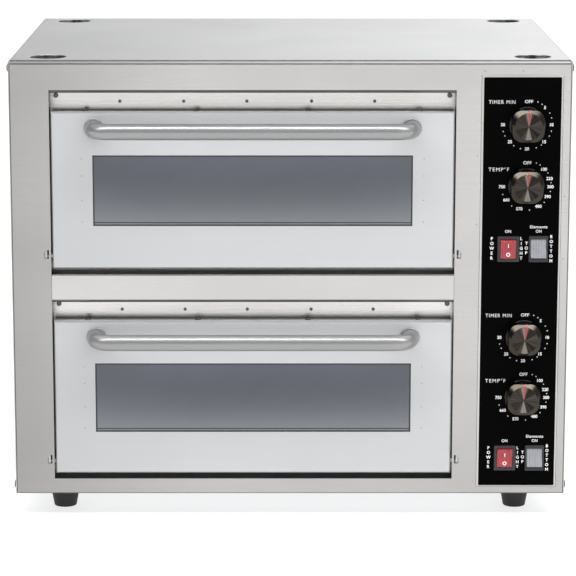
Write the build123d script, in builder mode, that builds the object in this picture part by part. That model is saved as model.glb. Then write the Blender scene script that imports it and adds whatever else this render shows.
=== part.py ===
from build123d import *

import os
from math import cos, radians, sin, tan

# Countertop double-deck pizza oven. Millimetres. +X is the user's right, the doors face -Y and +Z is up.
# The origin is at the middle of the footprint, on the surface that the rubber feet stand on.
# A depth (t) is measured backwards from the face of the front panel.

# Casing
BODY_W = 710.0
BODY_D = 560.0
BODY_H = 560.0
FOOT_H = 30.0
SHEET = 1.2
SEAM = 0.3
BEND_R = 2.0
HEM_R = 5.0
WRAP_D = 25.0
LAP_T = 37.0
FLANGE_H = 18.0
TOP_Z = FOOT_H + BODY_H
PANEL_TOP_Z = TOP_Z - SHEET
HALF_W = BODY_W / 2
PANEL_HALF = HALF_W - SHEET
INNER_HALF = PANEL_HALF - SEAM
COVER_T0 = 4.0
BACK_T = BODY_D - SHEET
SEAM_T = WRAP_D + SEAM

# What stands out in front of and behind the casing
HANDLE_D = 20.5
HANDLE_AXIS_OUT = 36.0
HANDLE_OUT = HANDLE_AXIS_OUT + HANDLE_D / 2
GLAND_OUT = 21.75
FRONT_Y = HANDLE_OUT - (HANDLE_OUT + BODY_D + GLAND_OUT) / 2

# Door bays
BAY_X = -47.5
BAY_HALF = 256.5
BAY_Z0 = 50.0
BAY_Z1 = 551.0
FRAME_T = 27.0
RAIL_Z0 = 282.0
RAIL_Z1 = 319.0
RAIL_SET_BACK = 0.8

# Doors: heights are measured from the lower edge of the door
DECK_PITCH = 269.3
DECKS = {"upper": 0.0, "lower": -DECK_PITCH}
DOOR_Z0 = 326.8
DOOR_HALF = 254.5
DOOR_H = 200.0
DOOR_T = 26.0
LIP_T = 14.0
LIP_H = 17.0
DOOR_SHEET = 1.0
WINDOW_HALF = 202.5
WINDOW_Z0 = 54.7
WINDOW_H = 90.6
PANE_T = 4.0
PANE_LAP = 8.0
PIVOT_T = 6.5
PIVOT_H = 15.0
PIN_R = 3.0
PIN_BORE_R = 3.06
SLOT_W = 5.6
SLOT_H = 11.0
HANDLE_H = 180.0
HANDLE_LEN = 421.0
HANDLE_BEND_R = 22.0
HANDLE_WALL = 1.0
HANDLE_FLANGE_R = 12.8
HANDLE_FLANGE_T = 3.0
HANDLE_BOLT_R = 2.5
HANDLE_TAP_R = 2.55
HANDLE_BOLT_HOLE_R = 2.6
HANDLE_BOLT_HEAD_R = 4.6
HANDLE_PLUG = 10.0
TOP_SCREWS = (-211.5, -70.5, 70.5, 211.5)
TOP_HEAD_R = 3.25
TOP_HEAD_H = 2.5

# The lower and upper edge of the sheet round each chamber mouth
FACE_FRAME_Z = {"upper": (300.4, 566.0), "lower": (33.0, 300.0)}

# Baking chambers: heights are measured from the chamber floor
CHAMBER_Z0 = 345.0
CHAMBER_HALF = 230.0
CHAMBER_H = 160.0
CHAMBER_D = 470.0
CHAMBER_T0 = FRAME_T + SHEET
STONE_H = 26.0
STONE_T = 12.0
ELEMENT_R = 4.0
TOP_ELEMENT_H = 144.0
BOTTOM_ELEMENT_H = 13.0
ELEMENT_X0 = BAY_X - 195.0
ELEMENT_X1 = BAY_X + 170.0
ELEMENT_BEND_R = 40.0
ELEMENT_RUNS = (80.0, 200.0, 320.0, 440.0)
ELEMENT_ENDS = (80.0, 440.0)
LAMP_T = 250.0
LAMP_H = 108.0
LAMP_R = 19.0
BLANKET_T = 28.0
BLANKET_GAP = 0.4

# Control compartment
WALL_X = 222.0
CUT_X0 = 240.3
CUT_X1 = 343.5
CUT_Z0 = 39.7
CUT_Z1 = 574.1
CUT_GAP = 0.3
OVERLAY_X0 = 243.3
OVERLAY_X1 = 341.0
OVERLAY_Z0 = 41.2
OVERLAY_Z1 = 571.1
OVERLAY_T = 0.4
DIAL_X = 298.4
TIMER_Z = 511.2
THERMOSTAT_Z = 433.4
CONTROL_PITCH = 274.2
SHAFT_R = 3.0
SHAFT_BORE_R = 3.06
SHAFT_HOLE_R = 4.5
SKIRT_R = 23.0
KNOB_W = 41.0
KNOB_CORNER_R = 13.2
KNOB_GAP = 0.6
KNOB_OUT = 21.0
KNOB_BEVEL = 1.2
CAP_R = 16.75

# Rocker switches: (X, height, width and height of the bezel, +1 when the top half is the one pressed at rest)
SWITCHES = {"power": (277.0, 352.0, 28.2, 33.5, -1), "element": (315.3, 352.0, 24.8, 34.2, 1)}
ROCKER_W = 19.7
ROCKER_R = 12.5
ROCKER_TILT = 11.0
ROCKER_PIVOT_T = 0.5
ROCKER_FACE = 2.0
WELL_W = 20.4
WELL_H = 25.9
SWITCH_BODY_W = 22.6
SWITCH_BODY_H = 28.2
BEZEL_T = 2.0
TRUNNION_R = 1.5

# Small parts
SCREW_R = 2.0
SCREW_HOLE_R = 2.1
COVER_HEAD_R = 4.8
COVER_HEAD_H = 2.0
CROSS_L = 2.6
CROSS_W = 0.6
CROSS_DEPTH = 0.9
RIVET_HOLE_R = 1.6
RIVET_R = 1.5
RIVET_HEAD_R = 2.1
RIVET_HEAD_H = 0.9
END_HEAD_R = 3.2
END_HEAD_H = 2.0
FOOT_BOLT_R = 2.5
FOOT_BOLT_HOLE_R = 2.6
SIDE_SCREWS = [(t, z) for t in (12.0, 285.0, 546.0) for z in (40.0, 582.0)]
BACK_SCREWS = [(x, z) for x in (-300.0, 0.0, 300.0) for z in (40.0, 582.0)]
FEET = [(x, t) for x in (-295.0, 295.0) for t in (55.0, BODY_D - 55.0)]
CUPS = [(x, t) for x in (-309.6, 309.6) for t in (63.0, BODY_D - 40.0)]
CUP_R = 23.3
CUP_DEPTH = 12.0
GLAND_X = 285.0
GLAND_Z = 85.0
GLAND_HOLE_R = 8.2

# Air slots: the length and width of a slot, and from one slot to the next
VENT_W = 5.0
VENT_PITCH = 12.0
SIDE_VENT_L = 60.0
SIDE_VENT_Z = (130.0, 480.0)
BACK_VENT_L = 70.0
BACK_VENT_Z = (200.0, 480.0)

os.makedirs("parts", exist_ok=True)


def facing(t):
    """The plane t behind the front face, seen from the front. A negative extrusion goes backwards."""
    return Plane.XZ.offset(-(FRONT_Y + t))


def across(x):
    """The plane at this X, seen from the right. Its own x is Y and its own y is Z."""
    return Plane.YZ.offset(x)


def slab(x0, x1, t0, t1, z0, z1, mode=Mode.ADD):
    """A block between two X positions, two depths and two heights."""
    with Locations(((x0 + x1) / 2, FRONT_Y + (t0 + t1) / 2, (z0 + z1) / 2)):
        Box(x1 - x0, t1 - t0, z1 - z0, mode=mode)


def rod_x(x0, x1, t, z, radius, mode=Mode.ADD):
    """A round bar or a bore along X."""
    with Locations(((x0 + x1) / 2, FRONT_Y + t, z)):
        Cylinder(radius, x1 - x0, rotation=(0, 90, 0), mode=mode)


def rod_y(x, t0, t1, z, radius, mode=Mode.ADD):
    """A round bar or a bore along Y."""
    with Locations((x, FRONT_Y + (t0 + t1) / 2, z)):
        Cylinder(radius, t1 - t0, rotation=(90, 0, 0), mode=mode)


def rod_z(x, t, z0, z1, radius, mode=Mode.ADD):
    """A round bar or a bore along Z."""
    with Locations((x, FRONT_Y + t, (z0 + z1) / 2)):
        Cylinder(radius, z1 - z0, mode=mode)


def round_head(piece, axis, outwards, radius):
    """Rounds the outer rim of every screw head in a group."""
    rims = piece.edges().filter_by(GeomType.CIRCLE)
    outer = rims.filter_by(lambda edge: edge.radius > SCREW_R + 0.5).group_by(axis)[outwards]
    fillet(outer, radius)


def cross_x(x, t, z):
    """A cross recess in a screw head that faces along X, at the head's outer face."""
    for length, height in ((CROSS_L, CROSS_W), (CROSS_W, CROSS_L)):
        slab(
            x - CROSS_DEPTH,
            x + CROSS_DEPTH,
            t - length,
            t + length,
            z - height,
            z + height,
            Mode.SUBTRACT,
        )


def cross_y(x, t, z):
    """A cross recess in a screw head that faces along Y, at the head's outer face."""
    for width, height in ((CROSS_L, CROSS_W), (CROSS_W, CROSS_L)):
        slab(
            x - width,
            x + width,
            t - CROSS_DEPTH,
            t + CROSS_DEPTH,
            z - height,
            z + height,
            Mode.SUBTRACT,
        )


def write(piece, label):
    piece.part.label = label
    export_step(piece.part, f"parts/{label}.step")


# ---------------------------------------------------------------- casing

# Front panel: a folded tray with a door bay, a control opening, jambs turned inwards and hinge slots
with BuildPart() as front_panel:
    slab(-PANEL_HALF, PANEL_HALF, 0, WRAP_D, FOOT_H, PANEL_TOP_Z)
    fillet(front_panel.faces().sort_by(Axis.Y)[0].edges(), BEND_R)
    slab(
        SHEET - PANEL_HALF,
        PANEL_HALF - SHEET,
        SHEET,
        WRAP_D,
        FOOT_H + SHEET,
        PANEL_TOP_Z - SHEET,
        Mode.SUBTRACT,
    )
    lap_half = INNER_HALF - SHEET - SEAM
    slab(-lap_half, lap_half, WRAP_D - SHEET, LAP_T, PANEL_TOP_Z - SHEET, PANEL_TOP_Z)
    slab(
        BAY_X - BAY_HALF - SHEET,
        BAY_X + BAY_HALF + SHEET,
        SHEET,
        FRAME_T,
        BAY_Z0 - SHEET,
        BAY_Z1 + SHEET,
    )
    slab(BAY_X - BAY_HALF, BAY_X + BAY_HALF, SHEET, HEM_R, BAY_Z1, BAY_Z1 + HEM_R)
    slab(BAY_X - BAY_HALF, BAY_X + BAY_HALF, -1, FRAME_T + 1, BAY_Z0, BAY_Z1, Mode.SUBTRACT)
    lintel_edge = front_panel.edges().filter_by(Axis.X).filter_by_position(
        Axis.Z, BAY_Z1 - 0.01, BAY_Z1 + 0.01
    )
    fillet(lintel_edge.sort_by(Axis.Y)[0], HEM_R - 0.01)
    rod_x(
        BAY_X - BAY_HALF,
        BAY_X + BAY_HALF,
        HEM_R,
        BAY_Z1 + HEM_R,
        HEM_R - SHEET,
        Mode.SUBTRACT,
    )
    slab(CUT_X0, CUT_X1, -1, SHEET + 1, CUT_Z0, CUT_Z1, Mode.SUBTRACT)
    for lift in DECKS.values():
        pivot_z = DOOR_Z0 + PIVOT_H + lift
        for side in (-1, 1):
            jamb_x = BAY_X + side * (BAY_HALF + SHEET / 2)
            rod_x(jamb_x - SHEET, jamb_x + SHEET, PIVOT_T, pivot_z, PIN_R + 2, Mode.SUBTRACT)
            slot_x = BAY_X + side * (BAY_HALF + SLOT_W)
            with BuildSketch(facing(-1)) as slot:
                with Locations((slot_x, pivot_z + 3.2)):
                    Rectangle(SLOT_W, SLOT_H)
                outer_corner = (slot_x + side * SLOT_W, pivot_z + SLOT_H, 0)
                chamfer(slot.vertices().sort_by_distance(outer_corner)[0], 3.0)
            extrude(amount=-(SHEET + 2), mode=Mode.SUBTRACT)
    for side in (-1, 1):
        for t, z in SIDE_SCREWS[:2]:
            rod_x(
                side * PANEL_HALF - 2 * SHEET,
                side * PANEL_HALF + 2 * SHEET,
                t,
                z,
                SCREW_HOLE_R,
                Mode.SUBTRACT,
            )
write(front_panel, "front_panel")

# Mid rail: a folded channel between the two doors, set back a little, with a round lower edge
with BuildPart() as mid_rail:
    rail_half = BAY_HALF - SEAM
    slab(BAY_X - rail_half, BAY_X + rail_half, RAIL_SET_BACK, FRAME_T, RAIL_Z0, RAIL_Z1)
    front_edges = mid_rail.faces().sort_by(Axis.Y)[0].edges().filter_by(Axis.X).sort_by(Axis.Z)
    fillet(front_edges[0], HEM_R)
    fillet(front_edges[-1], BEND_R)
    with BuildSketch(across(BAY_X)) as hollow:
        with Locations((FRONT_Y + (RAIL_SET_BACK + SHEET + FRAME_T + 1) / 2, (RAIL_Z0 + RAIL_Z1) / 2)):
            Rectangle(FRAME_T + 1 - RAIL_SET_BACK - SHEET, RAIL_Z1 - RAIL_Z0 - 2 * SHEET)
        low_corner = (FRONT_Y + RAIL_SET_BACK + SHEET, RAIL_Z0 + SHEET, 0)
        fillet(hollow.vertices().sort_by_distance(low_corner)[0], HEM_R - SHEET)
    extrude(amount=BAY_HALF, both=True, mode=Mode.SUBTRACT)
write(mid_rail, "mid_rail")

# Side covers: flat sheets outside the folded edges; the right one has air slots for the controls
for side, label in ((-1, "left_side_cover"), (1, "right_side_cover")):
    with BuildPart() as side_cover:
        middle = side * (HALF_W - SHEET / 2)
        slab(middle - SHEET / 2, middle + SHEET / 2, COVER_T0, BODY_D, FOOT_H, TOP_Z)
        for t, z in SIDE_SCREWS:
            rod_x(middle - SHEET, middle + SHEET, t, z, SCREW_HOLE_R, Mode.SUBTRACT)
        if side > 0:
            for z in SIDE_VENT_Z:
                with BuildSketch(across(middle - SHEET)):
                    with Locations((FRONT_Y + 170.0, z)):
                        with GridLocations(86.0, VENT_PITCH, 2, 6):
                            SlotOverall(SIDE_VENT_L, VENT_W)
                extrude(amount=2 * SHEET, mode=Mode.SUBTRACT)
        long_edges = side_cover.edges().filter_by(Axis.Y).group_by(Axis.Z)[-1]
        outer_edge = long_edges.sort_by(Axis.X)[-1 if side > 0 else 0]
        fillet(outer_edge, 0.6)
    write(side_cover, label)

# Top cover: a sheet with edges folded down and four stacking cups for the feet of another oven
with BuildPart() as top_cover:
    slab(-INNER_HALF, INNER_HALF, SEAM_T, BACK_T - SEAM, TOP_Z - FLANGE_H, TOP_Z)
    slab(
        SHEET - INNER_HALF,
        INNER_HALF - SHEET,
        SEAM_T - 1,
        BACK_T - SEAM - SHEET,
        TOP_Z - FLANGE_H - 1,
        TOP_Z - SHEET,
        Mode.SUBTRACT,
    )
    for x, t in CUPS:
        rod_z(x, t, TOP_Z - CUP_DEPTH - SHEET, TOP_Z, CUP_R + SHEET)
    for x, t in CUPS:
        rod_z(x, t, TOP_Z - CUP_DEPTH, TOP_Z + 1, CUP_R, Mode.SUBTRACT)
    cup_rims = top_cover.edges().filter_by(GeomType.CIRCLE).filter_by_position(
        Axis.Z, TOP_Z - 0.01, TOP_Z + 0.01
    )
    fillet(cup_rims, 0.9)
    for side in (-1, 1):
        for t, z in SIDE_SCREWS[3::2]:
            rod_x(
                side * INNER_HALF - 2 * SHEET,
                side * INNER_HALF + 2 * SHEET,
                t,
                z,
                SCREW_HOLE_R,
                Mode.SUBTRACT,
            )
    for x, z in BACK_SCREWS[1::2]:
        rod_y(x, BACK_T - 3 * SHEET, BACK_T, z, SCREW_HOLE_R, Mode.SUBTRACT)
write(top_cover, "top_cover")

# Base plate: a tray with edges folded up, holes for the feet and air slots under the controls
with BuildPart() as base_plate:
    slab(-INNER_HALF, INNER_HALF, SEAM_T, BACK_T - SEAM, FOOT_H, FOOT_H + FLANGE_H)
    slab(
        SHEET - INNER_HALF,
        INNER_HALF - SHEET,
        SEAM_T - 1,
        BACK_T - SEAM - SHEET,
        FOOT_H + SHEET,
        FOOT_H + FLANGE_H + 1,
        Mode.SUBTRACT,
    )
    for x, t in FEET:
        rod_z(x, t, FOOT_H - 1, FOOT_H + 2 * SHEET, FOOT_BOLT_HOLE_R, Mode.SUBTRACT)
    with BuildSketch(Plane.XY.offset(FOOT_H - 1)):
        with Locations((DIAL_X, FRONT_Y + BODY_D / 2)):
            with GridLocations(VENT_PITCH, 100.0, 5, 3):
                SlotOverall(BACK_VENT_L, VENT_W, rotation=90)
    extrude(amount=2 * SHEET, mode=Mode.SUBTRACT)
    for side in (-1, 1):
        for t, z in SIDE_SCREWS[2::2]:
            rod_x(
                side * INNER_HALF - 2 * SHEET,
                side * INNER_HALF + 2 * SHEET,
                t,
                z,
                SCREW_HOLE_R,
                Mode.SUBTRACT,
            )
    for x, z in BACK_SCREWS[::2]:
        rod_y(x, BACK_T - 3 * SHEET, BACK_T, z, SCREW_HOLE_R, Mode.SUBTRACT)
write(base_plate, "base_plate")

# Back cover: a flat sheet with air slots behind the controls and the hole for the cable gland
with BuildPart() as back_cover:
    slab(-INNER_HALF, INNER_HALF, BACK_T, BODY_D, FOOT_H + SEAM, TOP_Z - SEAM)
    for x, z in BACK_SCREWS:
        rod_y(x, BACK_T - SHEET, BODY_D + SHEET, z, SCREW_HOLE_R, Mode.SUBTRACT)
    rod_y(GLAND_X, BACK_T - SHEET, BODY_D + SHEET, GLAND_Z, GLAND_HOLE_R, Mode.SUBTRACT)
    for z in BACK_VENT_Z:
        with BuildSketch(facing(BACK_T - SHEET)):
            with Locations((DIAL_X - 10.0, z)):
                with GridLocations(1.0, VENT_PITCH, 1, 8):
                    SlotOverall(BACK_VENT_L, VENT_W)
        extrude(amount=-3 * SHEET, mode=Mode.SUBTRACT)
write(back_cover, "back_cover")

# Cover screws: pan heads outside the side and back covers
with BuildPart() as cover_screws:
    for side in (-1, 1):
        for t, z in SIDE_SCREWS:
            rod_x(
                min(side * (HALF_W - 8), side * (HALF_W + 0.5)),
                max(side * (HALF_W - 8), side * (HALF_W + 0.5)),
                t,
                z,
                SCREW_R,
            )
            rod_x(
                min(side * HALF_W, side * (HALF_W + COVER_HEAD_H)),
                max(side * HALF_W, side * (HALF_W + COVER_HEAD_H)),
                t,
                z,
                COVER_HEAD_R,
            )
    round_head(cover_screws, Axis.X, 0, 1.2)
    round_head(cover_screws, Axis.X, -1, 1.2)
    for x, z in BACK_SCREWS:
        rod_y(x, BODY_D - 8, BODY_D + 0.5, z, SCREW_R)
        rod_y(x, BODY_D, BODY_D + COVER_HEAD_H, z, COVER_HEAD_R)
    round_head(cover_screws, Axis.Y, -1, 1.2)
    for side in (-1, 1):
        for t, z in SIDE_SCREWS:
            cross_x(side * (HALF_W + COVER_HEAD_H), t, z)
    for x, z in BACK_SCREWS:
        cross_y(x, BODY_D + COVER_HEAD_H, z)
write(cover_screws, "cover_screws")

# Rubber feet: tapered, hollowed from below for the screw
with BuildPart() as rubber_feet:
    for x, t in FEET:
        with Locations((x, FRONT_Y + t, FOOT_H / 2)):
            Cone(14.5, 20.0, FOOT_H)
        rod_z(x, t, -1, 9, 6.5, Mode.SUBTRACT)
        rod_z(x, t, -1, FOOT_H + 1, FOOT_BOLT_HOLE_R, Mode.SUBTRACT)
    foot_rims = rubber_feet.edges().filter_by(GeomType.CIRCLE)
    fillet(foot_rims.filter_by(lambda edge: edge.radius > 14), 1.2)
write(rubber_feet, "rubber_feet")

with BuildPart() as foot_screws:
    for x, t in FEET:
        rod_z(x, t, 5.6, 9, 5.0)
        rod_z(x, t, 8, FOOT_H + 7, FOOT_BOLT_R)
        rod_z(x, t, FOOT_H + SHEET, FOOT_H + SHEET + 4, 4.4)
write(foot_screws, "foot_screws")

# ---------------------------------------------------------------- baking chambers

# Face frames: the plates behind the doors, one for each deck, with a window the size of the chamber
RIVETS = [BAY_X + x for x in (-168.5, -87.5, -7.5, 74.5, 154.5)]
RIVET_Z = DOOR_Z0 + DOOR_H + 10.7
END_SCREWS = [BAY_X + x for x in (-249.5, 249.5)]
END_SCREW_Z = DOOR_Z0 + DOOR_H + 18.2
FRAME_X0 = BAY_X - BAY_HALF - 14.0
FRAME_X1 = BAY_X + BAY_HALF + 12.0
with BuildPart() as face_frames:
    for name, lift in DECKS.items():
        z0, z1 = FACE_FRAME_Z[name]
        slab(FRAME_X0, FRAME_X1, FRAME_T, FRAME_T + SHEET, z0, z1)
        floor_z = CHAMBER_Z0 + lift
        slab(
            BAY_X - CHAMBER_HALF,
            BAY_X + CHAMBER_HALF,
            FRAME_T - 1,
            FRAME_T + 3,
            floor_z,
            floor_z + CHAMBER_H,
            Mode.SUBTRACT,
        )
        for x in RIVETS:
            rod_y(x, FRAME_T - 1, FRAME_T + 3, RIVET_Z + lift, RIVET_HOLE_R, Mode.SUBTRACT)
        for x in END_SCREWS:
            rod_y(x, FRAME_T - 1, FRAME_T + 3, END_SCREW_Z + lift, RIVET_HOLE_R, Mode.SUBTRACT)
write(face_frames, "face_frames")

with BuildPart() as frame_fasteners:
    for lift in DECKS.values():
        for x in RIVETS:
            rod_y(x, FRAME_T - RIVET_HEAD_H, FRAME_T, RIVET_Z + lift, RIVET_HEAD_R)
            rod_y(x, FRAME_T - 0.5, FRAME_T + 2 * SHEET + 2, RIVET_Z + lift, RIVET_R)
        for x in END_SCREWS:
            rod_y(x, FRAME_T - END_HEAD_H, FRAME_T, END_SCREW_Z + lift, END_HEAD_R)
            rod_y(x, FRAME_T - 0.5, FRAME_T + 2 * SHEET + 5, END_SCREW_Z + lift, RIVET_R)
    head_rims = frame_fasteners.edges().filter_by(GeomType.CIRCLE)
    head_rims = head_rims.filter_by(lambda edge: edge.radius > RIVET_HOLE_R).group_by(Axis.Y)
    fillet(head_rims[1], 0.5)
    fillet(head_rims[0], 0.9)
    for lift in DECKS.values():
        for x in END_SCREWS:
            cross_y(x, FRAME_T - END_HEAD_H, END_SCREW_Z + lift)
write(frame_fasteners, "frame_fasteners")

# Chambers: open boxes with a flange behind the face frame and a folded ledge each side for the stone
for name, lift in DECKS.items():
    floor_z = CHAMBER_Z0 + lift
    with BuildPart() as chamber:
        slab(
            BAY_X - CHAMBER_HALF - 22,
            BAY_X + CHAMBER_HALF + 24,
            CHAMBER_T0,
            CHAMBER_T0 + SHEET,
            floor_z - 20,
            floor_z + CHAMBER_H + 45,
        )
        slab(
            BAY_X - CHAMBER_HALF - SHEET,
            BAY_X + CHAMBER_HALF + SHEET,
            CHAMBER_T0,
            CHAMBER_T0 + CHAMBER_D + SHEET,
            floor_z - SHEET,
            floor_z + CHAMBER_H + SHEET,
        )
        slab(
            BAY_X - CHAMBER_HALF,
            BAY_X + CHAMBER_HALF,
            CHAMBER_T0 - 1,
            CHAMBER_T0 + CHAMBER_D,
            floor_z,
            floor_z + CHAMBER_H,
            Mode.SUBTRACT,
        )
        for side in (-1, 1):
            wall = BAY_X + side * CHAMBER_HALF
            slab(
                min(wall, wall - side * 18),
                max(wall, wall - side * 18),
                CHAMBER_T0 + 10,
                CHAMBER_T0 + CHAMBER_D,
                floor_z + STONE_H - SHEET,
                floor_z + STONE_H,
            )
        for h in (TOP_ELEMENT_H, BOTTOM_ELEMENT_H):
            for t in ELEMENT_ENDS:
                rod_x(
                    BAY_X + CHAMBER_HALF - 2,
                    BAY_X + CHAMBER_HALF + 4,
                    t,
                    floor_z + h,
                    ELEMENT_R + 0.4,
                    Mode.SUBTRACT,
                )
        rod_x(
            BAY_X + CHAMBER_HALF - 2,
            BAY_X + CHAMBER_HALF + 4,
            LAMP_T,
            floor_z + LAMP_H,
            LAMP_R + 0.4,
            Mode.SUBTRACT,
        )
        for x in RIVETS:
            rod_y(x, CHAMBER_T0 - 1, CHAMBER_T0 + 3, RIVET_Z + lift, RIVET_HOLE_R, Mode.SUBTRACT)
        for x in END_SCREWS:
            rod_y(x, CHAMBER_T0 - 1, CHAMBER_T0 + 3, END_SCREW_Z + lift, RIVET_HOLE_R, Mode.SUBTRACT)
    write(chamber, f"{name}_chamber")

with BuildPart() as baking_stones:
    for lift in DECKS.values():
        z0 = CHAMBER_Z0 + lift + STONE_H
        slab(BAY_X - 224, BAY_X + 224, CHAMBER_T0 + 14, CHAMBER_T0 + 456, z0, z0 + STONE_T)
    fillet(baking_stones.edges().filter_by(Axis.Z), 6.0)
    fillet(baking_stones.faces().filter_by(Axis.Z).edges(), 1.5)
write(baking_stones, "baking_stones")

# Heating elements: one serpentine tube above and one below each stone, ending in the control compartment
for label, h in (("top_elements", TOP_ELEMENT_H), ("bottom_elements", BOTTOM_ELEMENT_H)):
    with BuildPart() as elements:
        for lift in DECKS.values():
            plane = Plane.XY.offset(CHAMBER_Z0 + lift + h)
            end_x = WALL_X + 14
            turn_xs = (end_x, ELEMENT_X0, ELEMENT_X0, ELEMENT_X1, ELEMENT_X1, ELEMENT_X0, ELEMENT_X0, end_x)
            turn_ts = [t for t in ELEMENT_RUNS for _ in range(2)]
            turns = [(x, FRONT_Y + t) for x, t in zip(turn_xs, turn_ts)]
            with BuildLine(plane):
                route = FilletPolyline(*turns, radius=ELEMENT_BEND_R)
            with BuildSketch(Plane(origin=route @ 0, z_dir=route % 0)):
                Circle(ELEMENT_R)
            sweep(path=route)
    write(elements, label)

# Oven lamps: a glass dome on a threaded body through the right wall of each chamber
with BuildPart() as oven_lamps:
    for lift in DECKS.values():
        wall = BAY_X + CHAMBER_HALF
        z = CHAMBER_Z0 + lift + LAMP_H
        rod_x(wall - 10, wall - 2.5, LAMP_T, z, LAMP_R - 1)
        rod_x(wall - 3, wall, LAMP_T, z, LAMP_R + 6)
        rod_x(wall - 0.5, WALL_X - 1, LAMP_T, z, LAMP_R)
    fillet(oven_lamps.faces().filter_by(Axis.X).group_by(Axis.X)[0].edges(), 6.0)
write(oven_lamps, "oven_lamps")

# Insulation blankets: above and below each chamber, and left, right and behind the two together
with BuildPart() as insulation_blankets:
    outer_x0 = BAY_X - CHAMBER_HALF - SHEET
    outer_x1 = BAY_X + CHAMBER_HALF + SHEET
    front_t = CHAMBER_T0 + SHEET + 8
    back_t = CHAMBER_T0 + CHAMBER_D + SHEET
    side_x0 = outer_x0 - BLANKET_GAP - BLANKET_T
    side_x1 = outer_x1 + BLANKET_GAP + BLANKET_T
    lowest = CHAMBER_Z0 - DECK_PITCH - SHEET - BLANKET_GAP - BLANKET_T
    highest = CHAMBER_Z0 + CHAMBER_H + SHEET + BLANKET_GAP + BLANKET_T
    for lift in DECKS.values():
        above = CHAMBER_Z0 + lift + CHAMBER_H + SHEET + BLANKET_GAP
        below = CHAMBER_Z0 + lift - SHEET - BLANKET_GAP
        slab(outer_x0, outer_x1, front_t, back_t, above, above + BLANKET_T)
        slab(outer_x0, outer_x1, front_t, back_t, below - BLANKET_T, below)
    slab(side_x0, outer_x0 - BLANKET_GAP, front_t, back_t, lowest, highest)
    slab(outer_x1 + BLANKET_GAP, side_x1, front_t, back_t, lowest, highest)
    behind_t = back_t + BLANKET_GAP
    slab(side_x0, side_x1, behind_t, behind_t + BLANKET_T, lowest, highest)
    for lift in DECKS.values():
        for h in (TOP_ELEMENT_H, BOTTOM_ELEMENT_H):
            for t in ELEMENT_ENDS:
                z = CHAMBER_Z0 + lift + h
                rod_x(outer_x1, WALL_X + 2, t, z, ELEMENT_R + 1, Mode.SUBTRACT)
        rod_x(outer_x1, WALL_X + 2, LAMP_T, CHAMBER_Z0 + lift + LAMP_H, LAMP_R + 1, Mode.SUBTRACT)
write(insulation_blankets, "insulation_blankets")

# Compartment wall: keeps the heat away from the controls
with BuildPart() as compartment_wall:
    slab(
        WALL_X,
        WALL_X + SHEET,
        FRAME_T + SHEET + 0.5,
        BACK_T - SEAM - SHEET,
        FOOT_H + SHEET,
        TOP_Z - 2 * SHEET,
    )
    for lift in DECKS.values():
        for h in (TOP_ELEMENT_H, BOTTOM_ELEMENT_H):
            for t in ELEMENT_ENDS:
                z = CHAMBER_Z0 + lift + h
                rod_x(WALL_X - 1, WALL_X + 3, t, z, ELEMENT_R + 1, Mode.SUBTRACT)
write(compartment_wall, "compartment_wall")

# ---------------------------------------------------------------- controls


def control_cuts(t0, t1):
    """Holes for the four shafts and the four switches through a sheet of the control panel."""
    for drop in (0.0, CONTROL_PITCH):
        for z in (TIMER_Z, THERMOSTAT_Z):
            rod_y(DIAL_X, t0, t1, z - drop, SHAFT_HOLE_R, Mode.SUBTRACT)
        for x, z, _, _, _ in SWITCHES.values():
            slab(
                x - SWITCH_BODY_W / 2 - 0.1,
                x + SWITCH_BODY_W / 2 + 0.1,
                t0,
                t1,
                z - drop - SWITCH_BODY_H / 2 - 0.1,
                z - drop + SWITCH_BODY_H / 2 + 0.1,
                Mode.SUBTRACT,
            )


# Control panel: a steel tray in the opening of the front panel
with BuildPart() as control_panel:
    slab(CUT_X0 + CUT_GAP, CUT_X1 - CUT_GAP, 0, 15, CUT_Z0 + CUT_GAP, CUT_Z1 - CUT_GAP)
    slab(
        CUT_X0 + CUT_GAP + SHEET,
        CUT_X1 - CUT_GAP - SHEET,
        SHEET,
        16,
        CUT_Z0 + CUT_GAP + SHEET,
        CUT_Z1 - CUT_GAP - SHEET,
        Mode.SUBTRACT,
    )
    fillet(control_panel.faces().sort_by(Axis.Y)[0].outer_wire().edges(), 0.5)
    control_cuts(-1, 3)
write(control_panel, "control_panel")

# Control overlay: the black printed sheet on the control panel
with BuildPart() as control_overlay:
    with BuildSketch(facing(0)):
        with Locations(((OVERLAY_X0 + OVERLAY_X1) / 2, (OVERLAY_Z0 + OVERLAY_Z1) / 2)):
            RectangleRounded(OVERLAY_X1 - OVERLAY_X0, OVERLAY_Z1 - OVERLAY_Z0, 1.5)
    extrude(amount=OVERLAY_T)
    control_cuts(-2, 1)
write(control_overlay, "control_overlay")

# Timers and thermostats: a body behind the panel with a bush for the shaft and two blade terminals
for label, dial_z, width, height, length in (
    ("timer_mechanisms", TIMER_Z, 50.0, 56.0, 38.0),
    ("thermostats", THERMOSTAT_Z, 44.0, 38.0, 52.0),
):
    with BuildPart() as mechanisms:
        for drop in (0.0, CONTROL_PITCH):
            z = dial_z - drop
            slab(
                DIAL_X - width / 2,
                DIAL_X + width / 2,
                5,
                5 + length,
                z - height / 2,
                z + height / 2,
            )
        fillet(mechanisms.edges().filter_by(Axis.Y), 4.0)
        for drop in (0.0, CONTROL_PITCH):
            z = dial_z - drop
            rod_y(DIAL_X, SHEET, 6, z, 9.0)
            rod_y(DIAL_X, 0, 18, z, SHAFT_BORE_R, Mode.SUBTRACT)
            for x in (DIAL_X - 12, DIAL_X + 12):
                slab(x - 0.4, x + 0.4, 4 + length, 13 + length, z - 3.2, z + 3.2)
    write(mechanisms, label)

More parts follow.
